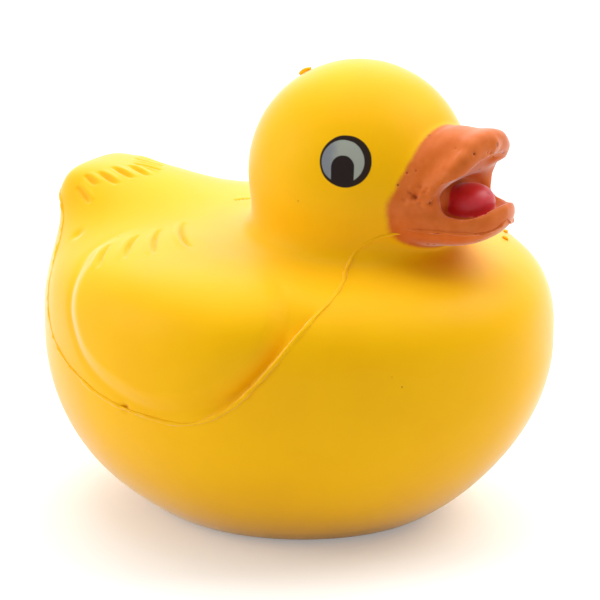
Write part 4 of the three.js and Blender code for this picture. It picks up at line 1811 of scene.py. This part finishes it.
@dataclass(frozen=True)
class MouldedGrain:
    """The shared moulded-foam grain: mottled shades, small pits and a fine unevenness."""

    mottle: tuple = (0.3, 0.7)
    mottle_roughness: float = 0.08
    cell_scale: float = 520.0
    pitted_cells: float = 0.35
    pit_edge: tuple = (0.3, 0.05)
    pit_darkness: float = 0.5
    floor_radius: float = 0.1
    floor_spread: float = 0.16
    floor_depth: float = 0.4
    fine_scale: float = 1400.0
    fine_height: float = 0.25
    inputs: tuple = (
        ("Shade", "NodeSocketColor", "shade"),
        ("Light", "NodeSocketColor", "light"),
        ("Pit Colour", "NodeSocketColor", "pit_colour"),
        ("Mottle Scale", "NodeSocketFloat", "mottle_scale"),
        ("Pit Share", "NodeSocketFloat", "pit_share"),
    )
    outputs: tuple = (
        ("Colour", "NodeSocketColor"),
        ("Rough", "NodeSocketFloat"),
        ("Height", "NodeSocketFloat"),
    )

    def group(self) -> bpy.types.NodeTree:
        """Builds the node group once.

        It mottles a coat's two shades with noise, and adds small pits where a cell pattern's random value is
        high. It puts out the colour, a roughness offset and a height.
        """
        tree = bpy.data.node_groups.new("moulded foam grain", "ShaderNodeTree")
        tree.interface.new_socket("Position", in_out="INPUT", socket_type="NodeSocketVector")
        for name, kind, _ in self.inputs:
            tree.interface.new_socket(name, in_out="INPUT", socket_type=kind)
        for name, kind in self.outputs:
            tree.interface.new_socket(name, in_out="OUTPUT", socket_type=kind)
        b = NodeBuilder(tree)
        given = b.node("NodeGroupInput").outputs
        out = b.node("NodeGroupOutput").inputs
        share = b.step(b.noise(given["Position"], given["Mottle Scale"], 3.0), *self.mottle)
        colour = b.mix(share, given["Shade"], given["Light"])
        cells = b.node("ShaderNodeTexVoronoi")
        b.link(given["Position"], cells.inputs["Vector"])
        cells.inputs["Scale"].default_value = self.cell_scale
        chance = b.node("ShaderNodeSeparateColor")
        b.link(cells.outputs["Color"], chance.inputs[0])
        most = b.math("MULTIPLY", given["Pit Share"], self.pitted_cells)
        picked = b.math("LESS_THAN", chance.outputs[0], most)
        size = b.math("MULTIPLY_ADD", chance.outputs[1], self.floor_spread, self.floor_radius)
        pit_floor = b.math("MULTIPLY", picked, b.math("LESS_THAN", cells.outputs["Distance"], size))
        pit = b.math("MULTIPLY", picked, b.step(cells.outputs["Distance"], *self.pit_edge))
        b.link(b.mix(b.math("MULTIPLY", pit, self.pit_darkness), colour, given["Pit Colour"]), out["Colour"])
        b.link(b.math("MULTIPLY", b.math("SUBTRACT", share, 0.5), self.mottle_roughness), out["Rough"])
        fine = b.math("MULTIPLY", b.noise(given["Position"], self.fine_scale, 3.0), self.fine_height)
        deep = b.math("MULTIPLY", pit_floor, -self.floor_depth)
        b.link(b.math("ADD", b.math("SUBTRACT", fine, pit), deep), out["Height"])
        return tree

    def coat(
        self, b: NodeBuilder, group: bpy.types.NodeTree, position: object, coat: Coat
    ) -> bpy.types.Node:
        """Places the group in a material with one coat's values.

        Args:
            b: the material's nodes.
            group: the grain's group.
            position: a socket.
            coat: the values.

        Returns:
            The placed node.
        """
        made = b.node("ShaderNodeGroup", node_tree=group)
        b.link(position, made.inputs["Position"])
        for name, _, value in self.inputs:
            made.inputs[name].default_value = getattr(coat, value)
        return made


@dataclass(frozen=True)
class EyePrint:
    """Printed eye: a dark ring, a grey disc set to the back and a dark arch-shaped pupil, in mm and degrees.

    The eye's azimuth grows from the front towards the duck's right side, and shifts are rearward and up.
    """

    azimuth: float = 64.0
    elevation: float = 20.0
    ring_radius: float = 4.24
    disc_radius: float = 3.5
    disc_shift: tuple = (0.42, -0.05)
    pupil_radius: float = 1.88
    pupil_shift: tuple = (0.42, -0.95)
    ring_colour: tuple = linear(40, 26, 18)
    pupil_colour: tuple = linear(34, 24, 22)
    disc_colour: tuple = linear(158, 162, 150)
    disc_shade: tuple = linear(128, 132, 138)
    shade_edge: tuple = (1.2, 3.6)
    shade_scale: float = 700.0
    shade_noise: float = 1.2
    softness: float = 0.1
    wobble_scale: float = 500.0
    wobble: float = 0.16
    nearest: float = 10.0
    roughness: float = 0.3

    def axes(self) -> tuple:
        """Outward, rearward and upward directions of the right eye, as unit vectors."""
        out = direction(-self.azimuth, self.elevation)
        up = (Vector((0, 0, 1)) - out * out.z).normalized()
        back = out.cross(up).normalized()
        return out, back if back.y > 0 else -back, up

    def within(self, b: NodeBuilder, value: object, limit: float) -> bpy.types.NodeSocket:
        """One where a value is under a limit, with a soft edge."""
        return b.step(value, limit + self.softness, limit - self.softness)

    def local(self, b: NodeBuilder, place: object, centre: Array) -> list:
        """Position from the head's centre along the eye's three directions, in mm.

        |x| is taken with a minus sign first, so both sides carry the same print.

        Args:
            b: the material's nodes.
            place: the position socket.
            centre: the head's centre, in metres.

        Returns:
            Sockets of the offset outwards, rearwards and upwards.
        """
        apart = b.node("ShaderNodeSeparateXYZ")
        b.link(place, apart.inputs[0])
        joined = b.node("ShaderNodeCombineXYZ")
        b.link(b.math("MULTIPLY", b.math("ABSOLUTE", apart.outputs[0]), -1.0), joined.inputs[0])
        b.link(apart.outputs[1], joined.inputs[1])
        b.link(apart.outputs[2], joined.inputs[2])
        offset = b.vector_math("SCALE", b.vector_math("SUBTRACT", joined.outputs[0], tuple(centre)))
        offset.node.inputs["Scale"].default_value = 1.0 / METRES_PER_MM
        return [b.vector_math("DOT_PRODUCT", offset, tuple(axis), output=1) for axis in self.axes()]

    def masks(self, b: NodeBuilder, place: object, centre: Array) -> tuple:
        """Masks of the whole print, its grey disc, its pupil, and the disc's darker rear.

        Args:
            b: the material's nodes.
            place: the position socket.
            centre: the head's centre, in metres.

        Returns:
            Four sockets with values from 0 to 1.
        """
        facing, across, rise = self.local(b, place, centre)
        noise = b.noise(place, self.wobble_scale)
        wobble = b.math("MULTIPLY", b.math("SUBTRACT", noise, 0.5), self.wobble)

        def radius(shift: tuple) -> bpy.types.NodeSocket:
            """Distance from a printed shape's centre, with a slight wobble of its edge."""
            u = b.math("SUBTRACT", across, shift[0])
            v = b.math("SUBTRACT", rise, shift[1])
            squares = b.math("ADD", b.math("MULTIPLY", u, u), b.math("MULTIPLY", v, v))
            return b.math("ADD", b.math("SQRT", squares), wobble)

        front = b.math("GREATER_THAN", facing, self.nearest)
        ring = b.math("MULTIPLY", front, self.within(b, radius((0.0, 0.0)), self.ring_radius))
        side = b.math("ABSOLUTE", b.math("SUBTRACT", across, self.pupil_shift[0]))
        column = self.within(b, b.math("ADD", side, wobble), self.pupil_radius)
        column = b.math("MULTIPLY", column, self.within(b, rise, self.pupil_shift[1]))
        pupil = b.math("MAXIMUM", self.within(b, radius(self.pupil_shift), self.pupil_radius), column)
        disc = self.within(b, radius(self.disc_shift), self.disc_radius)
        disc = b.math("MULTIPLY", disc, b.math("SUBTRACT", 1.0, pupil))
        ragged = b.math("MULTIPLY", b.noise(place, self.shade_scale), self.shade_noise)
        return ring, disc, pupil, b.step(b.math("ADD", across, ragged), *self.shade_edge)

    def lay(self, b: NodeBuilder, place: object, centre: Array, colour: object, rough: object) -> tuple:
        """Lays the printed eyes over a colour and a roughness.

        Args:
            b: the material's nodes.
            place: the position socket.
            centre: the head's centre, in metres.
            colour, rough: what lies under the print.

        Returns:
            Sockets of the colour and the roughness with the print on them.
        """
        ring, disc, pupil, shading = self.masks(b, place, centre)
        grey = b.mix(shading, self.disc_colour, self.disc_shade)
        dark = b.mix(pupil, self.ring_colour, self.pupil_colour)
        return b.mix(ring, colour, b.mix(disc, dark, grey)), b.mix_value(ring, rough, self.roughness)


@dataclass(frozen=True)
class SkinMaterial:
    """The duck's one material: yellow foam under orange and red paint, with the printed eyes on top.

    An edge is the pair of coat distances, in mm, between which a paint comes in.
    """

    eye: EyePrint = field(default_factory=EyePrint)
    grain: MouldedGrain = field(default_factory=MouldedGrain)
    jag: RaggedEdge = RaggedEdge(scale=900.0, rough=0.6, reach=0.5)
    tear: RaggedEdge = RaggedEdge(scale=1100.0, rough=0.65, reach=3.0)
    bill_edge: tuple = (-0.5, 0.35)
    tongue_edge: tuple = (0.0, 0.1)
    # Dark colours of painted shade in dents, cracks and wrinkle hollows, and of dark specks and the bead's
    # brown nubs.
    stain_and_shade_edge: tuple = (0.2, 0.9)
    foam_stain_and_shade: tuple = linear(150, 92, 8)
    bill_stain_and_shade: tuple = linear(135, 58, 20)
    sheen_roughness: float = 0.3
    bump_strength: float = 0.35
    bump_distance: float = 0.00012

    def build(self, head_centre: Array) -> bpy.types.Material:
        """Builds the material's nodes; the eyes take their places from the head's centre.

        Args:
            head_centre: the head's centre, in metres.

        Returns:
            The material.
        """
        material = bpy.data.materials.new("duck skin")
        material.use_nodes = True
        b = NodeBuilder(material.node_tree)
        place = b.node("ShaderNodeTexCoord").outputs["Object"]
        group = self.grain.group()
        foam, orange, red = (self.grain.coat(b, group, place, coat).outputs for coat in (FOAM, ORANGE, RED))
        jag = self.jag.offset(b, place)
        bill = b.step(b.math("ADD", b.attribute("bill_coat"), jag), *self.bill_edge)
        torn = b.math("ADD", b.attribute("tongue_coat"), self.tear.offset(b, place))
        tongue = b.step(b.math("MINIMUM", b.attribute("tongue_form"), torn), *self.tongue_edge)

        def by_coat(on_foam: float, on_bill: float, on_tongue: float) -> bpy.types.NodeSocket:
            """A value that changes from coat to coat."""
            return b.mix_value(tongue, b.mix_value(bill, on_foam, on_bill), on_tongue)

        colour = b.mix(tongue, b.mix(bill, foam["Colour"], orange["Colour"]), red["Colour"])
        # Painted shade: dents, cracks and wrinkle hollows are darkened towards these colours, along with
        # real dark specks and nubs.
        stain_and_shade = b.mix(bill, self.foam_stain_and_shade, self.bill_stain_and_shade)
        stain_and_shade_share = b.step(b.math("ADD", b.attribute("dirt_and_shade"), jag), *self.stain_and_shade_edge)
        rough = by_coat(FOAM.roughness, ORANGE.roughness, RED.roughness)
        colour, rough = self.eye.lay(b, place, head_centre, b.mix(stain_and_shade_share, colour, stain_and_shade), rough)
        shader = b.node("ShaderNodeBsdfPrincipled")
        b.link(colour, shader.inputs["Base Color"])
        b.link(b.math("ADD", rough, foam["Rough"]), shader.inputs["Roughness"])
        b.link(by_coat(FOAM.shine, ORANGE.shine, RED.shine), shader.inputs["Specular IOR Level"])
        b.link(by_coat(FOAM.sheen, ORANGE.sheen, RED.sheen), shader.inputs["Sheen Weight"])
        shader.inputs["Sheen Roughness"].default_value = self.sheen_roughness
        bump = b.node("ShaderNodeBump")
        bump.inputs["Strength"].default_value = self.bump_strength
        bump.inputs["Distance"].default_value = self.bump_distance
        b.link(b.mix_value(bill, foam["Height"], orange["Height"]), bump.inputs["Height"])
        b.link(bump.outputs["Normal"], shader.inputs["Normal"])
        b.link(shader.outputs[0], b.node("ShaderNodeOutputMaterial").inputs["Surface"])
        return material


@dataclass(frozen=True)
class Lamp:
    """One square lamp aimed at the duck: angles in degrees, distance and size in metres, power in watts."""

    name: str
    azimuth: float
    elevation: float
    away: float
    size: float
    power: float

    def build(self, target: Vector) -> None:
        """Places the lamp at its direction from the target.

        Args:
            target: the point it is aimed at.
        """
        data = bpy.data.lights.new(self.name, "AREA")
        data.size = self.size
        data.energy = self.power
        lamp = bpy.data.objects.new(self.name, data)
        back = direction(self.azimuth, self.elevation)
        lamp.location = target + back * self.away
        lamp.rotation_euler = back.to_track_quat("Z", "Y").to_euler()
        bpy.context.scene.collection.objects.link(lamp)


@dataclass(frozen=True)
class Studio:
    """Camera, lamps, world and floor. Angles in degrees, sizes in metres.

    The floor lies a hair under the base, so that no two faces share one plane.
    """

    azimuth: float = -55.85
    elevation: float = 17.73
    distance: float = 0.7
    target: tuple = (0.0, 0.0, 0.036)
    pixels: int = 600
    pixels_per_metre: float = 5910.0
    offset_pixels: tuple = (1.57, -2.82)
    sensor: float = 36.0
    nearest: float = 0.01
    lamps: tuple = (
        Lamp("overhead", 150.0, 78.0, 0.9, 0.7, 3.0),
        Lamp("back", 124.0, 36.0, 1.2, 1.0, 5.0),
        Lamp("left", -140.0, 22.0, 1.0, 0.6, 3.3),
        Lamp("right", 50.0, 48.0, 1.0, 0.7, 5.0),
    )
    sky_side: tuple = (0.585, 0.397, 0.707)
    sky_edge: tuple = (-0.3, 0.9)
    sky_dim: float = 0.24
    floor_half: float = 3.0
    floor_level: float = -0.00002
    floor_grey: float = 0.78
    floor_glow: float = 0.28
    floor_roughness: float = 0.8

    def camera(self) -> None:
        """Places the camera at the photograph's angle and frame."""
        data = bpy.data.cameras.new("camera")
        data.sensor_width = self.sensor
        data.lens = self.sensor * self.distance * self.pixels_per_metre / self.pixels
        data.shift_x = -self.offset_pixels[0] / self.pixels
        data.shift_y = self.offset_pixels[1] / self.pixels
        data.clip_start = self.nearest
        camera = bpy.data.objects.new("camera", data)
        back = direction(self.azimuth, self.elevation)
        camera.location = Vector(self.target) + back * self.distance
        camera.rotation_euler = back.to_track_quat("Z", "Y").to_euler()
        bpy.context.scene.collection.objects.link(camera)
        bpy.context.scene.camera = camera

    def world(self) -> None:
        """A sky that camera and gloss see as white, and that lights brightly from behind, dimly in front."""
        world = bpy.data.worlds.new("studio")
        bpy.context.scene.world = world
        world.use_nodes = True
        b = NodeBuilder(world.node_tree)
        background = b.node("ShaderNodeBackground")
        b.link(WHITE, background.inputs["Color"])
        out = b.node("ShaderNodeTexCoord").outputs["Generated"]
        facing = b.vector_math("DOT_PRODUCT", out, self.sky_side, output=1)
        sky = b.mix_value(b.step(facing, *self.sky_edge), self.sky_dim, 1.0)
        b.link(b.mix_value(b.seen(), sky, 1.0), background.inputs["Strength"])
        b.link(background.outputs[0], b.node("ShaderNodeOutputWorld").inputs["Surface"])

    def floor(self) -> None:
        """A wide pale floor that shows the duck's soft shadow."""
        size, level = self.floor_half, self.floor_level
        mesh = bpy.data.meshes.new("floor")
        corners = [(-size, -size, level), (size, -size, level), (size, size, level), (-size, size, level)]
        mesh.from_pydata(corners, [], [(0, 1, 2, 3)])
        floor = bpy.data.objects.new("floor", mesh)
        bpy.context.scene.collection.objects.link(floor)
        material = bpy.data.materials.new("pale floor")
        material.use_nodes = True
        b = NodeBuilder(material.node_tree)
        shader = b.node("ShaderNodeBsdfPrincipled")
        shader.inputs["Base Color"].default_value = (self.floor_grey,) * 3 + (1.0,)
        shader.inputs["Roughness"].default_value = self.floor_roughness
        shader.inputs["Emission Color"].default_value = WHITE
        b.link(b.math("MULTIPLY", b.seen(), self.floor_glow), shader.inputs["Emission Strength"])
        b.link(shader.outputs[0], b.node("ShaderNodeOutputMaterial").inputs["Surface"])
        mesh.materials.append(material)

    def build(self) -> None:
        """Builds the camera, four lamps, overhead, behind and on either side, the world and the floor."""
        bpy.context.scene.view_settings.view_transform = "Standard"
        self.camera()
        for lamp in self.lamps:
            lamp.build(Vector(self.target))
        self.world()
        self.floor()


def main() -> None:
    """Builds the studio and the duck."""
    logging.basicConfig(level=logging.INFO, format="%(message)s")
    Studio().build()
    skin = DuckSkin()
    piece = skin.build()
    piece.data.materials.append(SkinMaterial().build(skin.form.head.centre() * METRES_PER_MM))
    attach(piece, "root")
    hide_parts("duck")
    LOG.info("%s: %d vertices, %d faces", piece.name, len(piece.data.vertices), len(piece.data.polygons))


if __name__ == "__main__":
    main()
